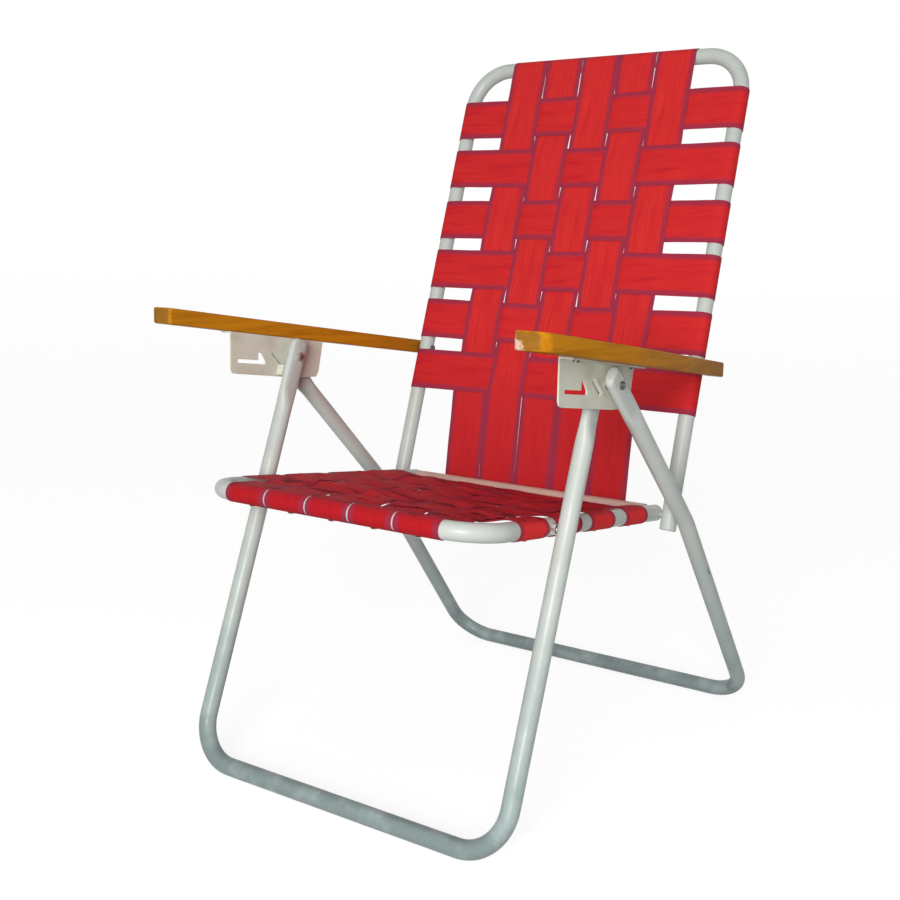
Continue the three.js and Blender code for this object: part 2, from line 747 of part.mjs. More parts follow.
// The bent-in lug stands just in front of the front leg and stops the arm there
const legFrontAt = (z) => {
  const stand = (wideHalf + restGap) / frontUp.z;
  return frontBarY + frontLean * (z - frontBarZ) - stand;
};
const tabLine = [legFrontAt(tabHighZ), tabHighZ, legFrontAt(tabLowZ), tabLowZ];
const tab = sidePiece(slanted(...tabLine, plateThick), [], plateThick + tabReach, plateIn - tabReach);
const plateHole = rod(plateIn - plateThick, plateOut + plateThick, boltHole, mainY, mainZ);
const flangeHoles = screwPlaces.map((y) => upScrew(y, woodHole, 0, true));
const plate = cut(join([flat, flange, tongue, tab]), [plateHole, ...flangeHoles]);
addPair("bracket_plate", plate, plateColour, 0.45, 0.3);
const woodScrewNames = ["plate_front_screw", "plate_rear_screw"];
screwPlaces.forEach((y, i) => {
  addPair(woodScrewNames[i], upScrew(y, woodScrewRadius, woodScrewHead, false), steelColour, 0.35, 0.8);
});

export default group;
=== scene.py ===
# %% [markdown]
# # A folding lawn chair with a woven webbing seat
# The chair is four bent steel frames that fold together, two wooden arms on pressed
# steel plates, and fifteen flat straps woven into a seat and a back. The solids were
# modelled first, with their joints. This lesson loads them as a fixed frame and
# dresses them: smooth tubes, real webbing, varnished wood, enamel and zinc.
# We keep every measure in millimetres, as on a drawing, and turn it into metres
# only when a mesh is made.

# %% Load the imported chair
import math

import bpy
from mathutils import Matrix, Vector, noise


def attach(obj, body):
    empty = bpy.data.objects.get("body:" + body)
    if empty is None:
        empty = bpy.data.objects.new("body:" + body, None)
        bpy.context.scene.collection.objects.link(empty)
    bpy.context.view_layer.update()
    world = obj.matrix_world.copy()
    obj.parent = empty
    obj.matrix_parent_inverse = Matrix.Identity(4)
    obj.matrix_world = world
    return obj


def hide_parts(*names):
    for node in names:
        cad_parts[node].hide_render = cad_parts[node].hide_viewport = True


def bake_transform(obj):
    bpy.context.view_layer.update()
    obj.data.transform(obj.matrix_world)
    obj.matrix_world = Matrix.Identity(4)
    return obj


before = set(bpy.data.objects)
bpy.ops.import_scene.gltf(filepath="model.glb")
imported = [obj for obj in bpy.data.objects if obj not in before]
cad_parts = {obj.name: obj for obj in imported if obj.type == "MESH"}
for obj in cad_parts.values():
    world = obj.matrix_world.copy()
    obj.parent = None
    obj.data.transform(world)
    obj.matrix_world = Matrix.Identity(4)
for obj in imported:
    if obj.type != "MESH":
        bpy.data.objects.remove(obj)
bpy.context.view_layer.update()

MM = 0.001

# %% [markdown]
# ## Where the photographer stood
# The camera stands to the sitter's left of the front, a little above the arms,
# and looks slightly down. Its place was worked out from the straight tubes of the
# chair: once enough of their ends are known in space and in the picture, only one
# camera fits. A small lens shift moves the chair to its place in the frame.

# %% The camera
CAMERA_PLACE = Vector((0.863281, -1.307984, 0.652187))
CAMERA_TURN = math.radians(32.801)
CAMERA_DIP = math.radians(7.33)
CAMERA_ROLL = math.radians(1.519)
LENS_LENGTH, SENSOR_WIDTH = 46.709, 36
LENS_SHIFT = (-0.0588, -0.0432)

level = Vector((math.cos(CAMERA_TURN), math.sin(CAMERA_TURN), 0))
ahead = Vector((
    -math.sin(CAMERA_TURN) * math.cos(CAMERA_DIP),
    math.cos(CAMERA_TURN) * math.cos(CAMERA_DIP),
    -math.sin(CAMERA_DIP),
))
above = level.cross(ahead)
camera_right = level * math.cos(CAMERA_ROLL) + above * math.sin(CAMERA_ROLL)
camera_up = above * math.cos(CAMERA_ROLL) - level * math.sin(CAMERA_ROLL)

lens = bpy.data.cameras.new("lawn_camera")
lens.lens = LENS_LENGTH
lens.sensor_width = SENSOR_WIDTH
lens.shift_x, lens.shift_y = LENS_SHIFT
camera = bpy.data.objects.new("lawn_camera", lens)
camera.matrix_world = Matrix.Translation(CAMERA_PLACE) @ Matrix(
    (camera_right, camera_up, -ahead)
).transposed().to_4x4()
bpy.context.collection.objects.link(camera)
bpy.context.scene.camera = camera
print("camera at", [round(c, 2) for c in CAMERA_PLACE], "m with a", LENS_LENGTH, "mm lens")

# %% [markdown]
# ## Daylight from the front
# The picture is bright and even: one broad light beside the camera, and pale
# surroundings that fill the shadows. A sun lamp would draw hard shadows of the tubes,
# so we use one round area lamp. The lamp and the world together make a surface that
# faces the camera look about as bright as its own colour.

# %% The lamp
bpy.context.scene.view_settings.view_transform = "Standard"

LAMP_PLACE = Vector((1.2, -2.7, 1.0))
LAMP_AIM = Vector((0, 0, 0.45))
LAMP_SIZE, LAMP_WATTS = 1.3, 80
LAMP_WARMTH = (1, 0.985, 0.96)

lamp_data = bpy.data.lights.new("soft_daylight", "AREA")
lamp_data.shape = "DISK"
lamp_data.size = LAMP_SIZE
lamp_data.energy = LAMP_WATTS
lamp_data.color = LAMP_WARMTH
lamp = bpy.data.objects.new("soft_daylight", lamp_data)
lamp.location = LAMP_PLACE
lamp.rotation_euler = (LAMP_AIM - LAMP_PLACE).to_track_quat("-Z", "Y").to_euler()
bpy.context.collection.objects.link(lamp)
print("lamp", LAMP_WATTS, "W,", round((LAMP_PLACE - LAMP_AIM).length, 2), "m from the chair")

# %% [markdown]
# ## White surroundings
# The chair stands in front of plain white. A world that is really so bright would wash
# out the shades on the tubes. The Light Path node tells what kind of ray asks, so the
# camera, a gloss and glass see white, and all other rays find a dim grey.

# %% The world
WORLD_LIGHT = 0.24


def seen_rays(tree):
    """Is 1 for a ray from the camera, off a gloss or through glass, and 0 otherwise."""
    path = tree.nodes.new("ShaderNodeLightPath")
    total = path.outputs["Is Camera Ray"]
    for name in ("Is Glossy Ray", "Is Transmission Ray"):
        either = tree.nodes.new("ShaderNodeMath")
        either.operation = "MAXIMUM"
        tree.links.new(total, either.inputs[0])
        tree.links.new(path.outputs[name], either.inputs[1])
        total = either.outputs[0]
    return total


world = bpy.data.worlds.new("pale_surroundings")
bpy.context.scene.world = world
world.use_nodes = True
sky = world.node_tree.nodes["Background"]
sky.inputs["Color"].default_value = (1, 1, 1, 1)
strength = world.node_tree.nodes.new("ShaderNodeMapRange")
strength.inputs["To Min"].default_value = WORLD_LIGHT
world.node_tree.links.new(seen_rays(world.node_tree), strength.inputs["Value"])
world.node_tree.links.new(strength.outputs[0], sky.inputs["Strength"])
print("world", WORLD_LIGHT)

# %% [markdown]
# ## The floor
# A plain floor takes the chair's soft shadow. Its paint is a darker grey than it looks,
# which keeps the undersides of the tubes in shade. A glow that only the camera, a gloss
# and glass see lifts it almost to the white of the surroundings.

# %% The floor
FLOOR_HALF = 30
FLOOR_GREY = (0.32, 0.32, 0.32, 1)
FLOOR_GLOW = 0.83

floor_mesh = bpy.data.meshes.new("white_floor")
floor_mesh.from_pydata(
    [(-FLOOR_HALF, -FLOOR_HALF, 0), (FLOOR_HALF, -FLOOR_HALF, 0),
     (FLOOR_HALF, FLOOR_HALF, 0), (-FLOOR_HALF, FLOOR_HALF, 0)], [], [(0, 1, 2, 3)])
floor = bpy.data.objects.new("white_floor", floor_mesh)
bpy.context.collection.objects.link(floor)

floor_finish = bpy.data.materials.new("white_floor")
floor_finish.use_nodes = True
floor_tree = floor_finish.node_tree
matt = floor_tree.nodes["Principled BSDF"]
matt.inputs["Base Color"].default_value = FLOOR_GREY
matt.inputs["Roughness"].default_value = 0.9
glow = floor_tree.nodes.new("ShaderNodeMath")
glow.operation = "MULTIPLY"
glow.inputs[1].default_value = FLOOR_GLOW
floor_tree.links.new(seen_rays(floor_tree), glow.inputs[0])
floor_tree.links.new(glow.outputs[0], matt.inputs["Emission Strength"])
matt.inputs["Emission Color"].default_value = (1, 1, 1, 1)
floor_mesh.materials.append(floor_finish)
print("floor", 2 * FLOOR_HALF, "m wide")

# %% [markdown]
# ## A helper for finishes
# Every finish on the chair is one Principled shader with a few textures in front
# of it. The helper keeps the node code short enough to read. It takes any socket
# or plain value as an input, so a recipe reads like a list of ingredients.

# %% Recipes for finishes
class Finish:
    """One material, built around its Principled shader."""

    def __init__(self, name, **fixed):
        self.material = bpy.data.materials.new(name)
        self.material.use_nodes = True
        self.tree = self.material.node_tree
        self.shader = self.tree.nodes["Principled BSDF"]
        for socket, value in fixed.items():
            self.shader.inputs[socket.replace("_", " ")].default_value = value

    def node(self, kind, inputs, **settings):
        node = self.tree.nodes.new(kind)
        for key, value in settings.items():
            setattr(node, key, value)
        for key, value in inputs.items():
            if isinstance(value, bpy.types.NodeSocket):
                self.tree.links.new(value, node.inputs[key])
            else:
                node.inputs[key].default_value = value
        return node

    def math(self, operation, a, b=0.0):
        return self.node("ShaderNodeMath", {0: a, 1: b}, operation=operation).outputs[0]

    def span(self, value, low, high, to_low=0.0, to_high=1.0):
        """Turns low..high into to_low..to_high, softly and without overshoot."""
        ends = {"Value": value, "From Min": low, "From Max": high,
                "To Min": to_low, "To Max": to_high}
        return self.node("ShaderNodeMapRange", ends, interpolation_type="SMOOTHSTEP").outputs[0]

    def mix(self, share, first, second):
        """Mixes two colours, which are sockets 6 and 7 of the Mix node."""
        node = self.node("ShaderNodeMix", {0: share, 6: first, 7: second}, data_type="RGBA")
        return node.outputs[2]

    def coordinates(self, which="Object", scale=(1, 1, 1)):
        source = self.node("ShaderNodeTexCoord", {}).outputs[which]
        return self.node("ShaderNodeMapping", {"Vector": source, "Scale": scale}).outputs[0]

    def speckle(self, where, scale, detail=3.0, roughness=0.55):
        inputs = {"Vector": where, "Scale": scale, "Detail": detail, "Roughness": roughness}
        return self.node("ShaderNodeTexNoise", inputs).outputs[0]

    def distance(self, where, place):
        ends = {0: where, 1: place}
        return self.node("ShaderNodeVectorMath", ends, operation="DISTANCE").outputs[1]

    def to_shader(self, socket, value):
        self.tree.links.new(value, self.shader.inputs[socket])

    def bump(self, height, distance, strength=1.0):
        inputs = {"Height": height, "Distance": distance, "Strength": strength}
        self.to_shader("Normal", self.node("ShaderNodeBump", inputs).outputs[0])


# %% [markdown]
# ## Enamel on steel tube
# The tubes are stove enamelled in a cool greyish white. Such paint is glossy with a
# faint orange-peel surface, and after years outdoors it is a little uneven: greyer
# patches, thin runs, and a few specks where it has chipped down to dark steel. Painted
# shade and splashed dirt make the legs greener and darker toward the floor, so the
# height above the floor is one of the ingredients. One spot of rust sits on the rear leg.
# The cross tube behind the seat is painted a warm beige, a painted reflection of the red webbing.

# %% Tube enamel
ENAMEL = (0.56, 0.60, 0.57, 1)
ENAMEL_GREYED = (0.46, 0.51, 0.49, 1)
ENAMEL_LOW_SHADE_AND_DIRT = (0.34, 0.43, 0.43, 1)
ENAMEL_FLOOR_SHADE_AND_GRIME = (0.21, 0.27, 0.275, 1)
RED_REFLECTION_BEIGE = (0.72, 0.47, 0.40, 1)
RED_REFLECTION_BEIGE_DARK = (0.58, 0.36, 0.30, 1)
SHADE_AND_DIRT_TOP, SHADE_AND_GRIME_TOP = 0.34, 0.075
RUST = (0.13, 0.060, 0.030, 1)
RUST_PLACE = (0.266, 0.139, 0.2445)
CHIP_DARK = (0.10, 0.085, 0.07, 1)


def tube_paint(name, pale, greyed_pale):
    """Paint with grey patches, thin runs, chips, painted shade and dirt toward the floor, and one
    spot of rust.
    """
    paint = Finish(name, Specular_IOR_Level=0.3)
    where = paint.coordinates()
    runs = paint.coordinates(scale=(1, 1, 0.16))
    patches = paint.span(paint.speckle(where, 14, 4), 0.42, 0.72)
    streaks = paint.span(paint.speckle(runs, 75, 4), 0.5, 0.78)
    greyed = paint.math("MULTIPLY", paint.math("MAXIMUM", patches, streaks), 0.45)
    chips = paint.span(paint.speckle(where, 230, 2), 0.79, 0.81)
    painted = paint.mix(greyed, pale, greyed_pale)
    height = paint.node("ShaderNodeSeparateXYZ", {0: where}).outputs["Z"]
    shade_and_splash_noise = paint.span(paint.speckle(where, 30, 4), 0.3, 0.7, -0.04, 0.04)
    uneven = paint.math("ADD", height, shade_and_splash_noise)
    # Painted shade and dirt: the legs turn greener and darker toward the floor.
    painted = paint.mix(paint.span(uneven, 0.02, SHADE_AND_DIRT_TOP, 0.95, 0), painted, ENAMEL_LOW_SHADE_AND_DIRT)
    painted = paint.mix(paint.span(uneven, -0.01, SHADE_AND_GRIME_TOP, 0.9, 0), painted, ENAMEL_FLOOR_SHADE_AND_GRIME)
    from_rust = paint.distance(where, RUST_PLACE)
    frayed = paint.span(paint.speckle(where, 150, 3), 0.3, 0.7, -0.003, 0.003)
    rust_edge = paint.math("ADD", from_rust, frayed)
    painted = paint.mix(paint.span(rust_edge, 0.003, 0.0055, 0.95, 0), painted, RUST)
    paint.to_shader("Base Color", paint.mix(chips, painted, CHIP_DARK))
    paint.to_shader("Roughness", paint.span(greyed, 0, 0.45, 0.3, 0.5))
    peel = paint.speckle(where, 420, 2)
    paint.bump(paint.math("SUBTRACT", peel, chips), 0.0003, 0.35)
    return paint


enamel = tube_paint("tube_enamel", ENAMEL, ENAMEL_GREYED)
# The cross tube's warm beige is a painted reflection of the red webbing around it.
cross_tube_red_reflection = tube_paint("cross_tube_red_reflection", RED_REFLECTION_BEIGE, RED_REFLECTION_BEIGE_DARK)
print("the enamel has", len(enamel.tree.nodes), "nodes")

# %% [markdown]
# ## Enamel on the bracket plates
# The plates have the same kind of paint in a creamier white, thinner and more matt,
# with shaded clouds and dark specks. Wear that follows edges could be found with the
# Geometry node's pointiness on a close mesh. On thin sheet a noise works better.

# %% Plate enamel
PLATE_CREAM = (0.73, 0.74, 0.64, 1)
PLATE_SHADED = (0.58, 0.59, 0.49, 1)

plate_paint = Finish("plate_enamel", Specular_IOR_Level=0.3)
where = plate_paint.coordinates()
clouds = plate_paint.span(plate_paint.speckle(where, 26, 4), 0.4, 0.75)
specks = plate_paint.span(plate_paint.speckle(where, 310, 2), 0.76, 0.79)
cream = plate_paint.mix(clouds, PLATE_CREAM, PLATE_SHADED)
plate_paint.to_shader("Base Color", plate_paint.mix(specks, cream, CHIP_DARK))
plate_paint.to_shader("Roughness", plate_paint.span(clouds, 0, 1, 0.34, 0.52))
plate_paint.bump(plate_paint.speckle(where, 380, 2), 0.0003, 0.3)
print("the plates' enamel has", len(plate_paint.tree.nodes), "nodes")

# %% [markdown]
# ## Zinc on the bolts
# Bolts, washers and screws are zinc plated. Fresh zinc is bright. Here it has
# dulled to a soft grey with cloudy spots, so the roughness changes more than the
# colour does. The main bolts and the arms' screws have lost it and gone dark.

# %% Dull zinc
ZINC_CLEAN = (0.60, 0.61, 0.60, 1)
ZINC_DULL = (0.40, 0.40, 0.38, 1)
BOLT_BARE = (0.16, 0.145, 0.125, 1)
BOLT_DARK = (0.07, 0.055, 0.045, 1)

zinc = Finish("dull_zinc", Metallic=1.0)
where = zinc.coordinates()
spots = zinc.speckle(where, 260, 4)
zinc.to_shader("Base Color", zinc.mix(zinc.span(spots, 0.35, 0.7), ZINC_CLEAN, ZINC_DULL))
zinc.to_shader("Roughness", zinc.span(spots, 0.3, 0.7, 0.28, 0.55))
zinc.bump(spots, 0.0002, 0.3)

old_bolt = Finish("old_bolt_steel", Metallic=0.7)
where = old_bolt.coordinates()
grime = old_bolt.speckle(where, 320, 4)
darker = old_bolt.span(grime, 0.35, 0.7)
old_bolt.to_shader("Base Color", old_bolt.mix(darker, BOLT_BARE, BOLT_DARK))
old_bolt.to_shader("Roughness", old_bolt.span(grime, 0.3, 0.7, 0.4, 0.65))
old_bolt.bump(grime, 0.0002, 0.3)
print("zinc has", len(zinc.tree.nodes), "nodes and old steel has", len(old_bolt.tree.nodes))

# %% [markdown]
# ## Varnished wood
# The arms are a plain straight-grained wood under thick yellow varnish. The grain
# runs along the arm, so the texture is stretched that way. Dark lines are the late
# growth of each year, the short pores come from a second, finer noise, and the sawn
# ends drink more varnish and look duller. Toward the rear the varnish has gone browner.
# One lower front corner carries a painted highlight, a pale patch in the colour of bare wood.

# %% Varnish and grain
WOOD_PALE = (0.64, 0.258, 0.012, 1)
WOOD_DEEP = (0.42, 0.155, 0.007, 1)
WOOD_BROWN = (0.37, 0.150, 0.014, 1)
WOOD_END = (0.21, 0.105, 0.022, 1)
WOOD_HIGHLIGHT_PALE = (0.70, 0.47, 0.36, 1)
HIGHLIGHT_CORNER = (0.249, -0.3365, 0.5675)
ARM_MIDDLE, ARM_REAR = -0.02, 0.176

wood = Finish("varnished_wood", Specular_IOR_Level=0.015)
grain_space = wood.coordinates(scale=(1, 0.05, 1))
pore_space = wood.coordinates(scale=(1, 0.03, 1))
place = wood.node("ShaderNodeSeparateXYZ", {0: wood.coordinates()}).outputs["Y"]
bands = wood.speckle(grain_space, 120, 3, 0.6)
pores = wood.speckle(pore_space, 900, 2, 0.5)
stain = wood.speckle(wood.coordinates(scale=(1, 0.4, 1)), 16, 3)
grain = wood.math("ADD", wood.span(bands, 0.36, 0.68), wood.span(pores, 0.58, 0.75, 0, 0.35))
tone = wood.mix(wood.math("MULTIPLY", grain, 0.8), WOOD_PALE, WOOD_DEEP)
stained = wood.span(stain, 0.3, 0.65, 0.35, 0.85)
toward_rear = wood.math("MULTIPLY", wood.span(place, ARM_MIDDLE, ARM_REAR), stained)
tone = wood.mix(toward_rear, tone, WOOD_BROWN)
end_face = wood.node("ShaderNodeSeparateXYZ", {0: wood.coordinates("Normal")}).outputs["Y"]
tone = wood.mix(wood.span(wood.math("ABSOLUTE", end_face), 0.75, 0.95, 0, 0.7), tone, WOOD_END)
# A painted highlight: a pale patch, coloured like bare wood, on the inner front corner of the left
# arm.
from_corner = wood.distance(wood.coordinates(), HIGHLIGHT_CORNER)
ragged = wood.span(wood.speckle(wood.coordinates(), 190, 4), 0.3, 0.7, -0.003, 0.003)
highlight_edge = wood.math("ADD", from_corner, ragged)
painted_highlight = wood.span(highlight_edge, 0.0075, 0.0115, 1, 0)
wood.to_shader("Base Color", wood.mix(painted_highlight, tone, WOOD_HIGHLIGHT_PALE))
wood.to_shader("Roughness", wood.span(painted_highlight, 0, 1, 0.34, 0.62))
wood.bump(wood.math("ADD", bands, wood.math("MULTIPLY", pores, 0.5)), 0.0003, 0.35)
print("the varnished wood has", len(wood.tree.nodes), "nodes")

# %% [markdown]
# ## Red webbing
# The straps are woven from red plastic yarn, about 60 mm wide, with a purple band along
# each edge. We colour them by their own length and width, so each strap carries a
# flat map: u runs across and v runs along, both in metres. A long thin noise along v
# gives the lighter and darker yarns that the eye sees first. The long straps are painted
# a little brighter than the cross straps, a painted sheen.

# %% Yarn
STRAP_WIDE = 61.0
WEB_RED = (0.67, 0.023, 0.027, 1)
WEB_BRIGHT = (0.81, 0.042, 0.032, 1)
WEB_DEEP = (0.48, 0.008, 0.022, 1)


def woven_yarn(web, flat_map, painted_sheen_share):
    """The noise of the yarns and their red, lighter and darker along the strap."""
    drawn_out = lambda share: web.node(
        "ShaderNodeMapping", {"Vector": flat_map, "Scale": (1, share, 1)}).outputs[0]
    yarn = web.speckle(drawn_out(0.022), 640, 3, 0.65)
    broad = web.speckle(drawn_out(0.12), 95, 3)
    # The lighter yarn grows with the painted sheen of the long straps.
    lighter = web.span(yarn, 0.42, 0.75, 0.1 * painted_sheen_share, 0.45 + 0.5 * painted_sheen_share)
    darker = web.span(broad, 0.48, 0.78, 0, 0.75 - 0.2 * painted_sheen_share)
    return yarn, web.mix(darker, web.mix(lighter, WEB_RED, WEB_BRIGHT), WEB_DEEP)


print("a strap is", STRAP_WIDE, "mm wide")

# %% [markdown]
# ## Painted shade and light on the red
# The front edge of the seat is painted darker as painted shade, and the lower back is
# darker from painted shade and dirt. The webbing round the side rails is painted brighter, as
# painted light. Painting a picture for each strap would work too, but one rule by place in the
# chair serves all fifteen.

# %% Darker and brighter places
FRONT_BAR_SHADE_RED = (0.40, 0.004, 0.012, 1)
SIDE_RAIL_LIGHT_RED = (0.95, 0.040, 0.045, 1)
LOW_BACK_SHADE_AND_DIRT_RED = (0.44, 0.012, 0.022, 1)
SEAT_LOW, SEAT_HIGH = 0.385, 0.405
FRONT_BAR_MIDDLE, FRONT_BAR_REAR = -0.312, -0.302
SIDE_RAIL_MIDDLE, SIDE_RAIL_OUTSIDE = 0.202, 0.210
LOW_BACK_FOOT, LOW_BACK_TOP = 0.36, 0.56


def local_reds(web, red, at_seat_height):
    """Painted shade at the front bar, painted shade and dirt low on the back, painted light round
    the side rails.
    """
    spot = web.node("ShaderNodeSeparateXYZ", {0: web.coordinates()})
    depth, place = spot.outputs["Y"], spot.outputs["Z"]
    # Painted shade on the webbing round the front bar.
    at_front = web.math("MULTIPLY", at_seat_height,
                        web.span(depth, FRONT_BAR_MIDDLE, FRONT_BAR_REAR, 0.75, 0))
    red = web.mix(at_front, red, FRONT_BAR_SHADE_RED)
    to_the_side = web.math("ABSOLUTE", spot.outputs["X"])
    # Painted light on the webbing round the side rails.
    at_side = web.math("MULTIPLY", at_seat_height,
                       web.span(to_the_side, SIDE_RAIL_MIDDLE, SIDE_RAIL_OUTSIDE, 0, 0.6))
    red = web.mix(at_side, red, SIDE_RAIL_LIGHT_RED)
    # Painted shade and dirt low on the back.
    low_back = web.math("MULTIPLY", web.span(place, LOW_BACK_FOOT, LOW_BACK_TOP, 0.5, 0),
                        web.span(depth, 0.07, 0.09))
    return web.mix(low_back, red, LOW_BACK_SHADE_AND_DIRT_RED)


print("the seat's webbing lies below", SEAT_LOW, "m")

# %% [markdown]
# ## Painted shade on the seat
# The upper side of the seat is painted a deep crimson as painted shade, darkest in the
# folds that run from side to side. The shader finds the upper side by the direction of
# the surface, and a noise that is drawn out sideways makes the folds.

# %% Soiled seat
SEAT_TOP_SHADE = (0.45, 0.017, 0.034, 1)
FOLD_PAINTED_SHADE = (0.10, 0.002, 0.008, 1)


def painted_seat_shade(web, cloth, at_seat_height):
    """Painted shade on the seat's upper side, darkest in the folds."""
    facing = web.node("ShaderNodeSeparateXYZ", {0: web.coordinates("Normal")}).outputs["Z"]
    on_the_seat = web.math("MULTIPLY", at_seat_height, web.span(facing, 0.55, 0.9))
    blotches = web.span(web.speckle(web.coordinates(), 34, 4), 0.3, 0.65, 0.4, 0.8)
    cloth = web.mix(web.math("MULTIPLY", on_the_seat, blotches), cloth, SEAT_TOP_SHADE)
    folds = web.speckle(web.coordinates(scale=(0.3, 1, 1)), 62, 3, 0.6)
    fold_shade = web.math("MULTIPLY", on_the_seat, web.span(folds, 0.56, 0.68, 0, 0.85))
    return web.mix(fold_shade, cloth, FOLD_PAINTED_SHADE)


# The deep red of the seat's upper side is painted shade.
print("soiled red is", round(SEAT_TOP_SHADE[0] / WEB_RED[0], 2), "of the clean red")

# %% [markdown]
# ## Purple bands and the weave
# The bands run along both edges, so their place comes from u, and the yarn's own noise
# makes their edges a little ragged. The weave itself is too fine to model: two sine
# waves give the lengthwise ribs and the crosswise steps, as a bump of a tenth of a
# millimetre or so.

# %% Webbing from edge to edge
BAND_WIDE = 7.4
WEB_PURPLE = (0.30, 0.032, 0.075, 1)
RIB_PITCH = 0.00118
PICK_PITCH = 0.00150


def webbing_finish(name, painted_sheen_share):
    """The sheen share is 1 for the long straps, whose yarn is painted brighter as a painted sheen,
    and 0 for the cross straps.
    """
    web = Finish(name, Roughness=0.62, Specular_IOR_Level=0.1)
    flat_map = web.node("ShaderNodeTexCoord", {}).outputs["UV"]
    split = web.node("ShaderNodeSeparateXYZ", {0: flat_map})
    across, along = split.outputs[0], split.outputs[1]
    yarn, red = woven_yarn(web, flat_map, painted_sheen_share)
    height = web.node("ShaderNodeSeparateXYZ", {0: web.coordinates()}).outputs["Z"]
    at_seat_height = web.span(height, SEAT_LOW, SEAT_HIGH, 1, 0)
    red = local_reds(web, red, at_seat_height)
    from_edge = web.math("MINIMUM", across, web.math("SUBTRACT", STRAP_WIDE * MM, across))
    wobble = web.math("ADD", from_edge, web.span(yarn, 0.3, 0.7, -0.0006, 0.0006))
    purple = web.span(wobble, (BAND_WIDE - 3.2) * MM, (BAND_WIDE + 2.6) * MM, 0.8, 0)
    cloth = web.mix(purple, red, WEB_PURPLE)
    web.to_shader("Base Color", painted_seat_shade(web, cloth, at_seat_height))
    ribs = web.math("SINE", web.math("MULTIPLY", across, 2 * math.pi / RIB_PITCH))
    picks = web.math("SINE", web.math("MULTIPLY", along, 2 * math.pi / PICK_PITCH))
    woven = web.math("MULTIPLY", ribs, picks)
    web.bump(web.math("ADD", woven, web.math("MULTIPLY", yarn, 2.4)), 0.00016, 0.7)
    return web


long_webbing = webbing_finish("long_webbing_red", 1)
cross_webbing = webbing_finish("cross_webbing_red", 0)
print("webbing has", len(long_webbing.tree.nodes), "nodes")

# %% [markdown]
# ## Measures of the chair
# These are the same numbers as in the solids. Y runs from the sitter's toes to the
# back, Z up, and X to the sitter's left. The seat frame and the back frame each lie
# in a sloping plane, so two small functions turn a place in that plane into space.

# %% The planes of the seat and the back
TUBE_RADIUS = 11.0
TUBE_BORE = 9.8
PIVOT_Y, PIVOT_Z = -131.5, 516.0
FRONT_HALF, REAR_HALF, SEAT_HALF, BACK_HALF = 231.4, 258.0, 202.0, 226.0
SEAT_FRONT_Y, SEAT_FRONT_Z, SEAT_FALL = -321, 367.8, 0.11
BACK_FOOT_Y, BACK_FOOT_Z, BACK_LEAN = 98.5, 320.6, 0.301


def unit_slope(slope):
    length = math.hypot(1, slope)
    return 1 / length, slope / length


SEAT_COS, SEAT_SIN = unit_slope(SEAT_FALL)
BACK_COS, BACK_SIN = unit_slope(BACK_LEAN)


def on_seat(x, run, height=0.0):
    """A point of the seat: run is back from the front bar, height is above its middle."""
    y = SEAT_FRONT_Y + run * SEAT_COS + height * SEAT_SIN
    return Vector((x, y, SEAT_FRONT_Z - run * SEAT_SIN + height * SEAT_COS))


def on_back(x, rise, depth=0.0):
    """A point of the back: rise is up from its foot, depth is toward the sitter."""
    y = BACK_FOOT_Y + rise * BACK_SIN - depth * BACK_COS
    return Vector((x, y, BACK_FOOT_Z + rise * BACK_COS + depth * BACK_SIN))


print("the seat falls", round(math.degrees(math.atan(SEAT_FALL)), 1), "degrees,",
      "the back leans", round(math.degrees(math.atan(BACK_LEAN)), 1))

# %% [markdown]
# ## From rings to a mesh
# A tube, a strap and a bolt head have one thing in common: each is a row of closed
# rings of points joined by quads. One small class collects such rows, closes their
# ends, and makes the object. It also turns a piece inside out if its rings ran the
# wrong way, by looking at the sign of its volume.

# %% Collecting rings
class Shape:
    """Rows of rings in millimetres that become one mesh object in metres."""

    def __init__(self):
        self.points, self.faces, self.flat = [], [], []

    def rows(self, rings, flat=None):
        first, size = len(self.points), len(rings[0])
        faces = []
        for k in range(len(rings) - 1):
            for m in range(size):
                n = (m + 1) % size
                faces.append([first + k * size + m, first + k * size + n,
                              first + (k + 1) * size + n, first + (k + 1) * size + m])
        faces.append([first + m for m in reversed(range(size))])
        faces.append([first + (len(rings) - 1) * size + m for m in range(size)])
        self.points += [point for ring in rings for point in ring]
        no_map = [(0, 0)] * (size * len(rings))
        self.flat += [spot for ring in flat for spot in ring] if flat else no_map
        volume = sum(
            self.points[f[0]].dot(self.points[f[i]].cross(self.points[f[i + 1]]))
            for f in faces for i in range(1, len(f) - 1))
        self.faces += faces if volume > 0 else [f[::-1] for f in faces]

    def object(self, name, finish, body=None, sharp=38):
        mesh = bpy.data.meshes.new(name)
        mesh.from_pydata([point * MM for point in self.points], [], self.faces)
        layer = mesh.uv_layers.new(name="flat_map")
        for loop in mesh.loops:
            layer.data[loop.index].uv = self.flat[loop.vertex_index]
        mesh.polygons.foreach_set("use_smooth", [True] * len(mesh.polygons))
        mesh.set_sharp_from_angle(angle=math.radians(sharp))
        mesh.materials.append(finish.material)
        piece = bpy.data.objects.new(name, mesh)
        bpy.context.collection.objects.link(piece)
        if body:
            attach(piece, body)
        return piece


# %% [markdown]
# ## Bending tube
# A bender turns straight tube around a former, so each frame is straight runs joined
# by arcs. `bent_line` rounds the corners of a plain zigzag in the same way. A curve
# object with a bevel could do this too, but here we want to choose where each ring is.

# %% Lines with rounded corners
ARC_STEP = math.radians(5)


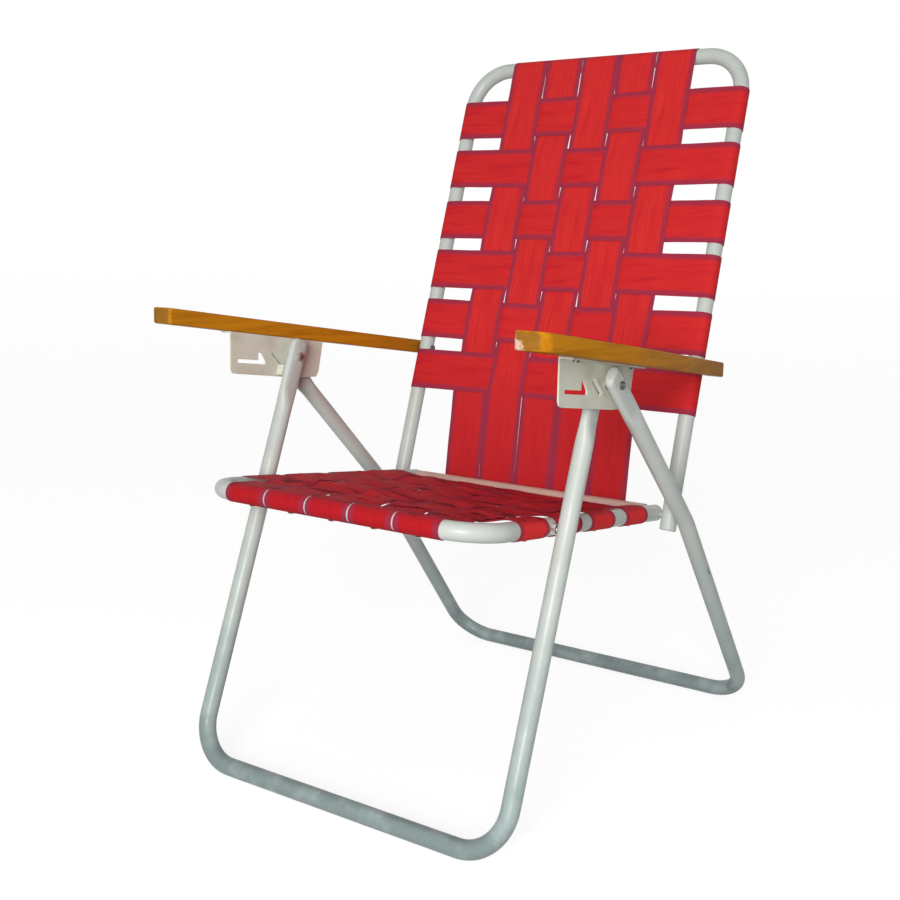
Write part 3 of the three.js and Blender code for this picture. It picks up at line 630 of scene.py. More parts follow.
def bent_line(corners, radii, step=ARC_STEP):
    line = [corners[0]]
    for before, at, after, radius in zip(corners, corners[1:], corners[2:], radii):
        into, out = (at - before).normalized(), (after - at).normalized()
        turn = into.angle(out)
        inward = (out - into * out.dot(into)).normalized()
        start = at - into * radius * math.tan(turn / 2)
        centre = start + inward * radius
        steps = max(2, math.ceil(turn / step))
        for k in range(steps + 1):
            angle = turn * k / steps
            sunk, carried = inward * radius * math.cos(angle), into * radius * math.sin(angle)
            line.append(centre - sunk + carried)
    return line + [corners[-1]]


def with_stops(line, stops):
    """Adds points on the first and last straight run, at these distances from the ends."""
    def from_end(points):
        start, ahead_of_start = points[0], (points[1] - points[0]).normalized()
        return [start] + [start + ahead_of_start * stop for stop in stops] + points[1:]
    return from_end(from_end(line)[::-1])[::-1]


trial = bent_line([Vector((0, 0, 0)), Vector((100, 0, 0)), Vector((100, 100, 0))], [50])
print("a quarter bend has", len(trial) - 2, "points")

# %% [markdown]
# ## Rings along a tube
# A ring is carried along the line, always square to it. Where legs are bolted the tube
# is pressed flat, so the ring can change on the way from a circle into a rounded box.
# One formula, the superellipse, draws both and everything between them.

# %% Rings along a line
TUBE_SIDES = 40


def ring_at(point, tangent, side, half_side, half_other, squareness=2.0):
    """A ring across the line. Squareness 2 is an ellipse, and more is a rounded box."""
    other = tangent.cross(side)
    ring = []
    for k in range(TUBE_SIDES):
        angle = 2 * math.pi * (k + 0.5) / TUBE_SIDES
        c, s = math.cos(angle), math.sin(angle)
        a = half_side * math.copysign(abs(c) ** (2 / squareness), c)
        b = half_other * math.copysign(abs(s) ** (2 / squareness), s)
        ring.append(point + side * a + other * b)
    return ring


def tube_rings(line, side, section):
    """Rings along a line. section(distance from the nearer end) gives the ring's form."""
    lengths = [0.0]
    for a, b in zip(line, line[1:]):
        lengths.append(lengths[-1] + (b - a).length)
    rings = []
    for k, point in enumerate(line):
        tangent = (line[min(k + 1, len(line) - 1)] - line[max(k - 1, 0)]).normalized()
        side = (side - tangent * side.dot(tangent)).normalized()
        form = section(min(lengths[k], lengths[-1] - lengths[k]))
        rings.append(ring_at(point, tangent, side, *form))
    return rings, lengths[-1]


ring_step = 2 * math.pi * TUBE_RADIUS / TUBE_SIDES
print("a ring has", TUBE_SIDES, "points, one every", round(ring_step, 1), "mm")

# %% [markdown]
# ## Pressed ends of the legs
# The legs end in pressed tongues that are bolted together under the arms. A press
# squeezes the tube flat, so the outline of the ring keeps about its length while it
# changes. The tongue is 12 mm thick and 27.6 mm wide, and its end has rounded corners.
# Rings are close together where the form changes fast.

# %% The form of a pressed end
TONGUE_THICK, TONGUE_WIDE = 12.0, 27.6
TONGUE_CORNER = 7.5
TONGUE_PAST_BOLT = 20.7
TONGUE_SQUARENESS = 3.2
FLAT_TO, ROUND_FROM = 45.0, 78.0


def smooth(value, low, high):
    share = min(max((value - low) / (high - low), 0), 1)
    return share * share * (3 - 2 * share)


def pressed(distance):
    """Half thickness, half width and squareness of the tube near its bolted end."""
    half_wide, half_thick = TONGUE_WIDE / 2, TONGUE_THICK / 2
    if distance < TONGUE_CORNER:
        left = 1 - distance / TONGUE_CORNER
        drawn = TONGUE_CORNER * (1 - math.sqrt(1 - left * left))
        lip = 1.6 * (1 - math.sqrt(1 - left ** 8))
        return half_thick - lip, half_wide - drawn, TONGUE_SQUARENESS
    share = smooth(distance, TONGUE_PAST_BOLT + FLAT_TO, TONGUE_PAST_BOLT + ROUND_FROM)
    blend = lambda a, b: a + (b - a) * share
    return (blend(half_thick, TUBE_RADIUS), blend(half_wide, TUBE_RADIUS),
            blend(TONGUE_SQUARENESS, 2.0))


tip_stops = [0.02, 0.15, 0.5, 1, 1.8, 3, 4.5, 6.5, 9, 11.5, 13.8, 20, 32]
neck_stops = [44, 55, 65.7, 69, 73, 77, 81, 85, 89, 93, 98.7, 115]
print("half thickness and width at the bolt:", pressed(TONGUE_PAST_BOLT)[:2], "mm")

# %% [markdown]
# ## The leg frames
# The front leg frame is one tube: down one side, along the floor, and up the other.
# The rear leg frame has one more bend in each leg, where it meets the seat. So each
# frame is one line of corners from a bolt down to the floor, mirrored for the other leg.

# %% Two leg frames
FRONT_SLOPE, REAR_SLOPE = 0.353, 0.801
FRONT_BAR_Y = PIVOT_Y - FRONT_SLOPE * (PIVOT_Z - TUBE_RADIUS)
REAR_BEND = (78.0, 320.6)
REAR_BAR_Y = REAR_BEND[0] + REAR_SLOPE * (REAR_BEND[1] - TUBE_RADIUS)
FRONT_RADII, REAR_RADII = [56], [60, 55]
FRONT_LONGER = 3


def leg_frame(name, half, corners, radii, longer, body, node):
    """corners are (y, z) from the pressed end down to the floor bar."""
    ends = [Vector((half, y, z)) for y, z in corners]
    first = (ends[0] - ends[1]).normalized()
    ends[0] = ends[0] + first * (TONGUE_PAST_BOLT + longer)
    other = [Vector((-v.x, v.y, v.z)) for v in reversed(ends)]
    line = with_stops(bent_line(ends + other, radii + radii[::-1]), tip_stops + neck_stops)
    rings, length = tube_rings(line, Vector((1, 0, 0)), pressed)
    shape = Shape()
    shape.rows(rings)
    piece = shape.object(name, enamel, body)
    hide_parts(node)
    print(name, "is", round(length), "mm of tube")


leg_frame("front_leg_tube", FRONT_HALF, [(PIVOT_Y, PIVOT_Z), (FRONT_BAR_Y, TUBE_RADIUS)],
          FRONT_RADII, FRONT_LONGER, "front_legs", "front_leg_frame")
leg_frame("rear_leg_tube", REAR_HALF, [(PIVOT_Y, PIVOT_Z), REAR_BEND, (REAR_BAR_Y, TUBE_RADIUS)],
          REAR_RADII, 0, "rear_legs", "rear_leg_frame")

# %% [markdown]
# ## The seat frame and the back frame
# These two are plain U bends with sawn-off open ends, so we model the wall of the
# tube where one can look into it: the ring turns in at the rim, runs a little way up
# the bore and closes there.

# %% Open-ended frames
BORE_DEPTH = 45.0
RIM_BREAK = 0.3
SEAT_BEND, BACK_BEND = 50, 58


def plain_round(distance):
    return TUBE_RADIUS, TUBE_RADIUS


def open_tube(name, line, body, node):
    rings, length = tube_rings(line, Vector((1, 0, 0)), plain_round)

    def bore(ring, next_ring):
        centre = sum(ring, Vector()) / len(ring)
        inward = (sum(next_ring, Vector()) / len(next_ring) - centre).normalized()
        sized = lambda radius, deep: [
            centre + inward * deep + (p - centre).normalized() * radius for p in ring]
        return [sized(TUBE_BORE, BORE_DEPTH), sized(TUBE_BORE, RIM_BREAK),
                sized(TUBE_BORE + RIM_BREAK, 0), sized(TUBE_RADIUS - RIM_BREAK, 0),
                sized(TUBE_RADIUS, RIM_BREAK)]

    rings = bore(rings[0], rings[1]) + rings[1:-1] + bore(rings[-1], rings[-2])[::-1]
    shape = Shape()
    shape.rows(rings)
    piece = shape.object(name, enamel, body)
    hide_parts(node)
    print(name, "is", round(length), "mm of tube")


SEAT_RAIL_END = 427.0
BACK_TOP, BACK_FOOT = 656.7, -19.4
CROSS_TUBE_RUN = 418.4
seat_line = bent_line([on_seat(SEAT_HALF, SEAT_RAIL_END), on_seat(SEAT_HALF, 0),
                       on_seat(-SEAT_HALF, 0), on_seat(-SEAT_HALF, SEAT_RAIL_END)],
                      [SEAT_BEND, SEAT_BEND])
open_tube("seat_tube", seat_line, "seat", "seat_frame")
back_line = bent_line([on_back(BACK_HALF, BACK_FOOT), on_back(BACK_HALF, BACK_TOP),
                       on_back(-BACK_HALF, BACK_TOP), on_back(-BACK_HALF, BACK_FOOT)],
                      [BACK_BEND, BACK_BEND])
open_tube("back_tube", back_line, "back", "back_frame")

# %% [markdown]
# ## The cross tube
# A straight piece of tube lies between the seat rails, on the line about which the
# back turns. A steel rod runs through it and through all four rails, with a nut at
# each end, so the tube is also the spacer that holds the rails apart. It is simply
# sawn off, and its ends stop just short of the rails.

# %% Cross tube on the rod
RAIL_GAP, END_RING = 0.3, 8
cross_reach = SEAT_HALF - TUBE_RADIUS - RAIL_GAP
cross_places = [cross_reach, cross_reach - END_RING, 0, END_RING - cross_reach, -cross_reach]
cross_line = [on_seat(x, CROSS_TUBE_RUN) for x in cross_places]


def straight_tube(name, line, body, node):
    rings, length = tube_rings(line, Vector((0, 1, 0)), plain_round)
    shape = Shape()
    shape.rows(rings)
    piece = shape.object(name, cross_tube_red_reflection, body)
    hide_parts(node)
    print(name, "is", round(length), "mm of tube")


straight_tube("seat_cross_tube", cross_line, "seat", "seat_rear_cross_tube")

# %% [markdown]
# ## How the straps are woven
# Six straps cross the back and four cross the seat. Five long straps run from the
# top bar down the back, behind and under the cross tube, and forward over the seat to
# its front bar. At each crossing one strap is above, and the next crossing is the
# other way round. Both straps give way by half, so each moves up or down by about a
# strap's thickness. The two functions below give +1 where a strap is above, -1 where
# it is below, and change softly in between.

# %% The order of the weave
STRAP_THICK = 0.8
STRAP_PITCH = 61.76
LONG_COUNT = 5
BACK_ROWS = [572.4, 490.7, 407.8, 329.0, 248.1, 168.0]
SEAT_ROWS = [94.2, 171.2, 257.5, 350.1]
WEAVE_STEP = 0.68
CROSSING_HALF, CROSSING_END = 27, 41
CROWN_LONG, CROWN_CROSS = 0.55, 0.5
PAST_EDGE_FROM, PAST_EDGE_TO = 1, 16
SLIT_REACH = 7
HUG = TUBE_RADIUS + 0.15 + STRAP_THICK / 2


def long_centre(number):
    return STRAP_PITCH * ((LONG_COUNT + 1) / 2 - number)


def is_above(number, row_index):
    """1 where long strap number passes above cross strap row_index, and -1 below it."""
    return 1 if (number + row_index) % 2 == 1 else -1


def weave_long(number, place, rows):
    """Height of a long strap, -1 to 1, at a place along its frame."""
    index = min(range(len(rows)), key=lambda i: abs(place - rows[i]))
    off = abs(place - rows[index])
    level_at = is_above(number, index)
    crown = CROWN_LONG * (1 - min(off / CROSSING_HALF, 1) ** 2) if level_at > 0 else 0
    return level_at * (1 - smooth(off, CROSSING_HALF, CROSSING_END)) + crown


def weave_cross(row_index, x):
    """Height of a cross strap, -1 to 1, at a place across the chair."""
    number = min(max(round((LONG_COUNT + 1) / 2 - x / STRAP_PITCH), 1), LONG_COUNT)
    off = abs(x - long_centre(number))
    to_slit = STRAP_PITCH / 2 - off
    below = -is_above(number, row_index)
    edge = abs(x) > long_centre(1)
    if edge and off > 0:
        half = STRAP_WIDE / 2
        return below * (1 - smooth(off, half + PAST_EDGE_FROM, half + PAST_EDGE_TO))
    crown = CROWN_CROSS * (1 - min(off / CROSSING_HALF, 1) ** 2) if below > 0 else 0
    return below * smooth(to_slit, 0, SLIT_REACH) + crown


for row in range(len(BACK_ROWS)):
    order = [is_above(number, row) > 0 for number in range(1, LONG_COUNT + 1)]
    print("back row", row + 1, "".join("|" if long_is_above else "-" for long_is_above in order))

# %% [markdown]
# ## Slack, sag and creases
# Webbing stretches with use. The back has given only a little. The seat is creased from
# side to side, stands a few millimetres proud on the sitter's right and hangs a little
# on the left. Toward the rear it dips, because the long straps go under the cross
# tube. We describe this as one height field for the seat and one for the back. Both
# families of straps follow the same field, so they move together and never cut through
# each other.

# %% Height fields
BACK_GIVE, BACK_RIPPLE = 3.2, 1.5
SEAT_PUFF = 5.5
SEAT_SAG = 6.5
REAR_DROOP = 5.0
CREASE_BROAD, CREASE_FINE = 5.0, 2.0


def back_field(x, rise):
    window = max(1 - (x / 215) ** 2, 0) * smooth(rise, 60, 190) * (1 - smooth(rise, 560, 650))
    ripple = noise.noise(Vector((x / 62, rise / 46, 3.1)))
    ripple += 0.4 * noise.noise(Vector((x / 25, rise / 21, 8.4)))
    return -BACK_GIVE * window + BACK_RIPPLE * ripple * math.sqrt(window)


def seat_hang(x, run):
    held_at_rails = 1 - smooth(abs(x), 150, 198)
    puff = SEAT_PUFF * smooth(-x, -30, 140) * smooth(run, 40, 105) * (1 - smooth(run, 260, 350))
    sag = SEAT_SAG * smooth(x, -70, 110) * smooth(run, 6, 34) * (1 - smooth(run, 345, 400))
    rear = REAR_DROOP * smooth(run, 285, 372)
    return (puff - sag - rear) * held_at_rails


def seat_creases(x, run):
    window = max(1 - (abs(x) / 192) ** 4, 0) * smooth(run, 8, 48) * (1 - smooth(run, 368, 392))
    folds = noise.noise(Vector((x / 66, run / 19, 7.7))) * CREASE_BROAD
    folds += noise.noise(Vector((x / 30, run / 10, 2.2))) * CREASE_FINE
    return folds * window


print("the seat's right stands", round(seat_hang(-110, 180), 1), "mm proud,",
      "its left hangs", round(-seat_hang(110, 180), 1), "mm")

# %% [markdown]
# ## Making a strap
# A strap is a thin band, so its ring is a flat loop: along the face, round the edge,
# and back along the underside. The edge is thinner than the middle, as woven edges
# are. Besides its line, each strap is told how far it wanders sideways and how high it
# is lifted at each place.

# %% Bands of webbing
FACE_STATIONS = [-30.5, -30.1, -29.2, -25, -20, -14, -7, 0, 7, 14, 20, 25, 29.2, 30.1, 30.5]
EDGE_SHARES = [0.35, 0.75, 1] + [1] * 9 + [1, 0.75, 0.35]


def strap_piece(name, finish, stations, wander, nodes, body=None):
    """stations are (centre, normal, side, lift(side offset)) along the strap."""
    rings, flat, length = [], [], 0.0
    for k, (centre, normal, side, lift) in enumerate(stations):
        if k:
            length += (centre - stations[k - 1][0]).length
        face, under, spots = [], [], []
        for offset, share in zip(FACE_STATIONS, EDGE_SHARES):
            sideways = offset + wander(length)
            middle = centre + side * sideways + normal * lift(sideways)
            half = normal * (STRAP_THICK / 2 * share)
            face.append(middle + half)
            under.append(middle - half)
            spots.append(((offset + STRAP_WIDE / 2) * MM, length * MM))
        rings.append(face + under[::-1])
        flat.append(spots + spots[::-1])
    shape = Shape()
    shape.rows(rings, flat)
    piece = shape.object(name, finish, body, sharp=60)
    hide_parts(*nodes)
    return piece, length


def arc(centre_a, centre_b, start, stop, step=10):
    """Points on a circle of the strap's middle round a tube, angles in degrees."""
    count = max(1, math.ceil(abs(stop - start) / step))
    angles = [math.radians(start + (stop - start) * k / count) for k in range(count + 1)]
    return [(centre_a + HUG * math.cos(a), centre_b + HUG * math.sin(a)) for a in angles]


print("a strap's ring has", 2 * len(FACE_STATIONS), "points")

# %% [markdown]
# ## Cross straps
# Each cross strap starts behind a rail, comes round its outside, and crosses to the
# other rail, where it ends in the same way. It is drawn as a line in the plane
# across the frame. The normal of that line tells which way is up for the weave.

# %% A line across a frame
STATION_STEP = 4.5


def cross_stations(half_line, to_space, side, lift_at):
    """half_line runs from behind the left rail to the middle. The other half mirrors it."""
    line = half_line + [(-a, b) for a, b in reversed(half_line) if a > 1e-6]
    stations = []
    for k, (a, b) in enumerate(line):
        (a0, b0), (a1, b1) = line[max(k - 1, 0)], line[min(k + 1, len(line) - 1)]
        length = math.hypot(a1 - a0, b1 - b0)
        centre = to_space(a, b)
        normal = to_space(a + (b1 - b0) / length, b - (a1 - a0) / length) - centre
        stations.append((centre, normal, side, lift_at(a, b)))
    return stations


def inner_places(start):
    steps = math.ceil(start / STATION_STEP)
    return [start * (1 - k / steps) for k in range(1, steps + 1)]


print("from rail to middle there are", len(inner_places(BACK_HALF)), "stations")

# %% [markdown]
# ## Ten straps across the chair
# Six straps cross the back and four cross the seat. Both kinds use the same line, but
# the seat's straps are pulled farther round their rails and are creased. Each strap
# wanders sideways by less than a millimetre, because nobody pulls them quite straight.

# %% Cross straps of the back and the seat
BACK_WRAP_START, SEAT_WRAP_START = -112, -138
RAIL_TOUCH = 4


def back_cross(index, rise):
    line = arc(BACK_HALF, 0, BACK_WRAP_START, 90)
    line += [(x, HUG) for x in inner_places(BACK_HALF)]

    def lift_at(x, depth):
        if abs(x) < BACK_HALF - RAIL_TOUCH and depth > 0:
            woven = WEAVE_STEP * weave_cross(index, x)
            return lambda offset: back_field(x, rise + offset) + woven
        return lambda offset: 0

    side = on_back(0, 1) - on_back(0, 0)
    stations = cross_stations(line, lambda x, depth: on_back(x, rise, depth), side, lift_at)
    wander = lambda s: 0.8 * math.sin(s / 92 + 2.1 * index)
    name = f"back_cross_webbing_{index + 1}"
    nodes = [f"back_cross_strap_{index + 1}"]
    return strap_piece(name, cross_webbing, stations, wander, nodes, "back")


def seat_cross(index, run):
    line = arc(SEAT_HALF, 0, SEAT_WRAP_START, 90)
    x_start, top = line[-1]
    line += [(x, top) for x in inner_places(x_start)]

    def lift_at(x, height):
        if abs(x) < x_start and height > 0:
            woven = WEAVE_STEP * weave_cross(index, x)
            return lambda offset: (
                seat_hang(x, run + offset) + seat_creases(x, run + offset) + woven)
        return lambda offset: 0

    side = on_seat(0, 1) - on_seat(0, 0)
    stations = cross_stations(line, lambda x, height: on_seat(x, run, height), side, lift_at)
    wander = lambda s: 0.9 * math.sin(s / 80 + 1.7 * index)
    name = f"seat_cross_webbing_{index + 1}"
    nodes = [f"seat_cross_strap_{index + 1}"]
    return strap_piece(name, cross_webbing, stations, wander, nodes, "seat")


for index, rise in enumerate(BACK_ROWS):
    print("back cross strap", index + 1, "is", round(back_cross(index, rise)[1]), "mm long")
for index, run in enumerate(SEAT_ROWS):
    print("seat cross strap", index + 1, "is", round(seat_cross(index, run)[1]), "mm long")

# %% [markdown]
# ## Long straps down the back
# A long strap is one piece from the top bar to the front bar. Its whole course lies in
# one upright plane, so it is a line of (y, z) points. Each point also knows its zone
# and how far it is along the back or the seat, for the weave and the sag. The first
# part starts behind the top bar and lies on the back down to its last row.

# %% Down the back
LAST_ROW_EDGE = 136.0
BACK_STEP = 5


def down_the_back():
    course = []
    for rise, depth in arc(BACK_TOP, 0, BACK_WRAP_START, 90):
        p = on_back(0, rise, depth)
        course.append((p.y, p.z, "back_wrap", rise))
    steps = round((BACK_TOP - LAST_ROW_EDGE) / BACK_STEP)
    for k in range(1, steps + 1):
        rise = BACK_TOP - (BACK_TOP - LAST_ROW_EDGE) * k / steps
        p = on_back(0, rise, HUG)
        course.append((p.y, p.z, "back", rise))
    return course


print("down the back there are", len(down_the_back()), "stations")

# %% [markdown]
# ## Round the cross tube
# Between the back and the seat the strap is free for a hand's width, goes loosely round
# the rear of the cross tube, and comes forward from under it. So the tube keeps the
# seat's rear edge down and the back's lower edge forward.

# %% Behind and under the cross tube
UNDER_TUBE_FRONT, UNDER_TUBE_REAR = -118, -2
UNDER_STEP = 8
LOOSE_BEHIND_TUBE, TIGHT_BELOW = 4.5, -85
FREE_STEPS = 24


def round_the_cross_tube():
    under = []
    for run, height in arc(CROSS_TUBE_RUN, 0, UNDER_TUBE_REAR, UNDER_TUBE_FRONT, UNDER_STEP):
        angle = math.degrees(math.atan2(height, run - CROSS_TUBE_RUN))
        wider = 1 + LOOSE_BEHIND_TUBE * smooth(angle, TIGHT_BELOW, 0) / HUG
        under.append(on_seat(0, CROSS_TUBE_RUN + (run - CROSS_TUBE_RUN) * wider, height * wider))
    start, end = on_back(0, LAST_ROW_EDGE, HUG), under[0]
    course = []
    for k in range(1, FREE_STEPS):
        p = start.lerp(end, k / FREE_STEPS)
        course.append((p.y, p.z, "free", LAST_ROW_EDGE * (1 - k / FREE_STEPS)))
    return course + [(p.y, p.z, "under", 0) for p in under]


print("round the cross tube there are", len(round_the_cross_tube()), "stations")

# %% [markdown]
# ## Over the seat to the front bar
# From under the cross tube the strap climbs to the top of the seat frame. A cubic curve
# joins both ends without a kink, because it is told the direction at each of them.
# Then the strap runs flat to the front bar and round it.

# %% Forward over the seat
LEAVE_SEAT = 382.0
RAMP_STEPS, RAMP_PULL = 9, 30
FRONT_WRAP_END = 304


def over_the_seat():
    course = []
    low = Vector(arc(CROSS_TUBE_RUN, 0, UNDER_TUBE_FRONT, UNDER_TUBE_FRONT)[-1])
    high = Vector((LEAVE_SEAT, HUG))
    leaving = math.radians(UNDER_TUBE_FRONT)
    low_way = Vector((math.sin(leaving), -math.cos(leaving))) * RAMP_PULL
    high_way = Vector((-1, 0)) * RAMP_PULL
    for k in range(1, RAMP_STEPS):
        t = k / RAMP_STEPS
        h00, h10 = 2 * t**3 - 3 * t**2 + 1, t**3 - 2 * t**2 + t
        h01, h11 = -2 * t**3 + 3 * t**2, t**3 - t**2
        spot = low * h00 + low_way * h10 + high * h01 + high_way * h11
        p = on_seat(0, spot.x, spot.y)
        course.append((p.y, p.z, "seat", spot.x))
    steps = round(LEAVE_SEAT / STATION_STEP)
    for k in range(steps):
        run = LEAVE_SEAT * (1 - k / steps)
        p = on_seat(0, run, HUG)
        course.append((p.y, p.z, "seat", run))
    for run, height in arc(0, 0, 90, FRONT_WRAP_END):
        p = on_seat(0, run, height)
        course.append((p.y, p.z, "front_wrap", run))
    return course


long_course = down_the_back() + round_the_cross_tube() + over_the_seat()
print("a long strap has", len(long_course), "stations")

# %% [markdown]
# ## Lift along a long strap
# At each station the strap follows the height field and takes its turn above or below
# the cross straps. On the free stretch that movement fades out, with a faint flutter.
# Close to the cross tube there is none, so the strap never cuts into the tube.

# %% Stations of a long strap
NO_LIFT_FROM = 406.0
FLUTTER = 0.8


def long_lift(number, zone, place, x):
    if zone == "back":
        return back_field(x, place) + WEAVE_STEP * weave_long(number, place, BACK_ROWS)
    if zone == "seat":
        held = 1 - smooth(place, LEAVE_SEAT, NO_LIFT_FROM)
        height = seat_hang(x, place) + seat_creases(x, place)
        return held * (height + WEAVE_STEP * weave_long(number, place, SEAT_ROWS))
    if zone == "free":
        share = place / LAST_ROW_EDGE
        start = back_field(x, LAST_ROW_EDGE)
        start += WEAVE_STEP * weave_long(number, LAST_ROW_EDGE, BACK_ROWS)
        wave = noise.noise(Vector((x / 30, place / 40, number)))
        return start * smooth(share, 0.1, 1) + FLUTTER * math.sin(math.pi * share) * wave
    return 0.0


def long_stations(number):
    centre_x = long_centre(number)
    last = len(long_course) - 1
    stations = []
    for k, (y, z, zone, place) in enumerate(long_course):
        before, after = long_course[max(k - 1, 0)], long_course[min(k + 1, last)]
        way = Vector((after[0] - before[0], after[1] - before[1])).normalized()
        normal = Vector((0, way.y, -way.x))
        lift = lambda offset, zone=zone, place=place: (
            long_lift(number, zone, place, centre_x + offset))
        stations.append((Vector((centre_x, y, z)), normal, Vector((1, 0, 0)), lift))
    return stations


lifted = long_lift(3, "back", BACK_ROWS[0], 0)
print("at the top row, long strap 3 sinks in by", round(-lifted, 1), "mm")

# %% [markdown]
# ## A strap across a hinge
# The long straps lie side by side with narrow slits that open and close along the way,
# so each strap's place is summed up from the slits. The back turns about the cross
# tube, and these straps go round that tube.

# %% Five long straps
CLOSED_FROM, CLOSING = 520.0, 110
OPEN_AGAIN, OPENING = 960.0, 60
FRONT_SLIT, LEAST_SLIT = 2.2, 0.12


def slit(after, s):
    """Width of the slit between long straps number after and after + 1, at length s."""
    on_back_share = 1 - 0.85 * smooth(s, CLOSED_FROM - CLOSING, CLOSED_FROM)
    at_front_bar = smooth(s, OPEN_AGAIN, OPEN_AGAIN + OPENING)
    width = 0.7 + 0.6 * math.sin(s / 125 + 2.4 * after) + 0.4 * math.sin(s / 41 + 1.3 * after)
    return max(width * on_back_share, LEAST_SLIT) + FRONT_SLIT * at_front_bar


def strap_wander(number, s):
    slits = [slit(after, s) for after in range(1, LONG_COUNT)]
    middle = sum(slits) / 2 - sum(slits[:number - 1])
    return middle + STRAP_WIDE * ((LONG_COUNT + 1) / 2 - number) - long_centre(number)


for number in range(1, LONG_COUNT + 1):
    wander = lambda s, number=number: strap_wander(number, s)
    long_strap, length = strap_piece(
        f"long_webbing_{number}", long_webbing, long_stations(number), wander,
        [f"back_long_strap_{number}", f"seat_long_strap_{number}"])
    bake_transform(long_strap)
    print("long strap", number, "is", round(length), "mm long")

# %% [markdown]
# ## Turned parts
# Screws, bolts and washers are turned on a lathe: their whole form is a profile that
# spins about an axis. So a screw head with its washer is a list of eight pairs, each a
# distance along the axis and a radius.

# %% A lathe for small parts
SCREW_PROFILE = [(0, 0.05), (0, 5.2), (0.6, 5.1), (0.7, 4.0),
                 (1.2, 3.8), (1.8, 2.8), (2.1, 1.4), (2.2, 0.05)]


def lathe_rings(foot, axis, profile, sides=24):
    """Rings round an axis. profile is (distance along the axis, radius)."""
    side = axis.orthogonal().normalized()
    other = axis.cross(side)
    angles = [2 * math.pi * k / sides for k in range(sides)]
    circle = [side * math.cos(a) + other * math.sin(a) for a in angles]
    return [[foot + axis * up + way * radius for way in circle] for up, radius in profile]


print("a screw head with its washer is", SCREW_PROFILE[-1][0], "mm tall")

# %% [markdown]
# ## Strap screws
# A short screw with a washer holds each strap end to the back of its rail or bar.
# They face away from the sitter, so only their count and size matter. All the screws
# of one frame are one object.

# %% Screw heads behind the rails
BACK_SCREWS_AT, RAIL_SCREWS_AT, FRONT_SCREWS_AT = -92, -112, 286


def screws(name, spots, body):
    shape = Shape()
    for foot, axis in spots:
        shape.rows(lathe_rings(foot, axis.normalized(), SCREW_PROFILE))
    piece = shape.object(name, zinc, body)
    print(name, "has", len(spots), "screws")


def spot_round(to_space, centre_a, centre_b, angle, sign=1):
    """Foot and axis of a screw that stands on a strap wrapped round a tube."""
    a = math.radians(angle)
    out = HUG + STRAP_THICK / 2
    foot = to_space(sign * (centre_a + out * math.cos(a)), centre_b + out * math.sin(a))
    middle = to_space(sign * centre_a, centre_b)
    return foot, foot - middle


back_spots, seat_spots = [], []
for rise in BACK_ROWS:
    for sign in (1, -1):
        on_row = lambda x, depth: on_back(x, rise, depth)
        back_spots.append(spot_round(on_row, BACK_HALF, 0, BACK_SCREWS_AT, sign))
for run in SEAT_ROWS:
    for sign in (1, -1):
        on_row = lambda x, height: on_seat(x, run, height)
        seat_spots.append(spot_round(on_row, SEAT_HALF, 0, RAIL_SCREWS_AT, sign))
for number in range(1, LONG_COUNT + 1):
    down_back = lambda rise, depth: on_back(long_centre(number), rise, depth)
    back_spots.append(spot_round(down_back, BACK_TOP, 0, BACK_SCREWS_AT))
    down_seat = lambda run, height: on_seat(long_centre(number), run, height)
    seat_spots.append(spot_round(down_seat, 0, 0, FRONT_SCREWS_AT))
screws("back_strap_screws", back_spots, "back")
screws("seat_strap_screws", seat_spots, "seat")

# %% [markdown]
# ## The outline of an arm
# Seen from above, each arm is a board that is straight along the front and narrows
# toward the rear. Its four corners are rounded, the outer front one the most, and two
# wide bends lead into the narrower part. The same line of arcs that bends the tubes
# makes them all.

# %% Outlines with rounded corners
ARM_FRONT_Y, ARM_TURN_Y, ARM_REAR_Y = -337, -120, 176
ARM_INNER, ARM_OUTER = 247, 285
ARM_REAR_INNER, ARM_REAR_OUTER = 240, 261
ARM_CORNERS = [(ARM_INNER, ARM_FRONT_Y), (ARM_OUTER, ARM_FRONT_Y), (ARM_OUTER, ARM_TURN_Y),
               (ARM_REAR_OUTER, ARM_REAR_Y), (ARM_REAR_INNER, ARM_REAR_Y), (ARM_INNER, ARM_TURN_Y)]
ARM_RADII = [5, 16, 300, 5, 5, 300]


def rounded_outline(corners, radii):
    """A closed outline with rounded corners. The first point is on a straight side."""
    points = [Vector((x, y, 0)) for x, y in corners]
    start = (points[0] + points[-1]) / 2
    return bent_line([start] + points + [start], radii, math.radians(10))[:-1]


def drawn_in(outline, distance):
    """Every point moved inward by a distance, square to the outline."""
    count = len(outline)
    area = sum(a.x * b.y - b.x * a.y for a, b in zip(outline, outline[1:] + outline[:1]))
    turn = 1 if area > 0 else -1
    result = []
    for k, point in enumerate(outline):
        way = (outline[(k + 1) % count] - outline[k - 1]).normalized()
        result.append(point + Vector((-way.y, way.x, 0)) * distance * turn)
    return result


outline = rounded_outline(ARM_CORNERS, ARM_RADII)
print("the outline has", len(outline), "points")

# %% [markdown]
# ## Wooden arms
# The board is 20 mm thick, and its edges were broken with a small round-over. A bevel
# modifier could do that, but here the outline is simply stacked in rings: each ring
# near an edge is drawn in by as much as a quarter circle asks. The arm slopes down a
# little toward the rear, so the height of each point depends on its y.

# %% Boards with rounded edges
ARM_THICK, ARM_EDGE = 20.0, 2.4
ARM_UNDERSIDE, ARM_FALL = 524.9, 0.12


def arm_under(y):
    return ARM_UNDERSIDE - ARM_FALL * y


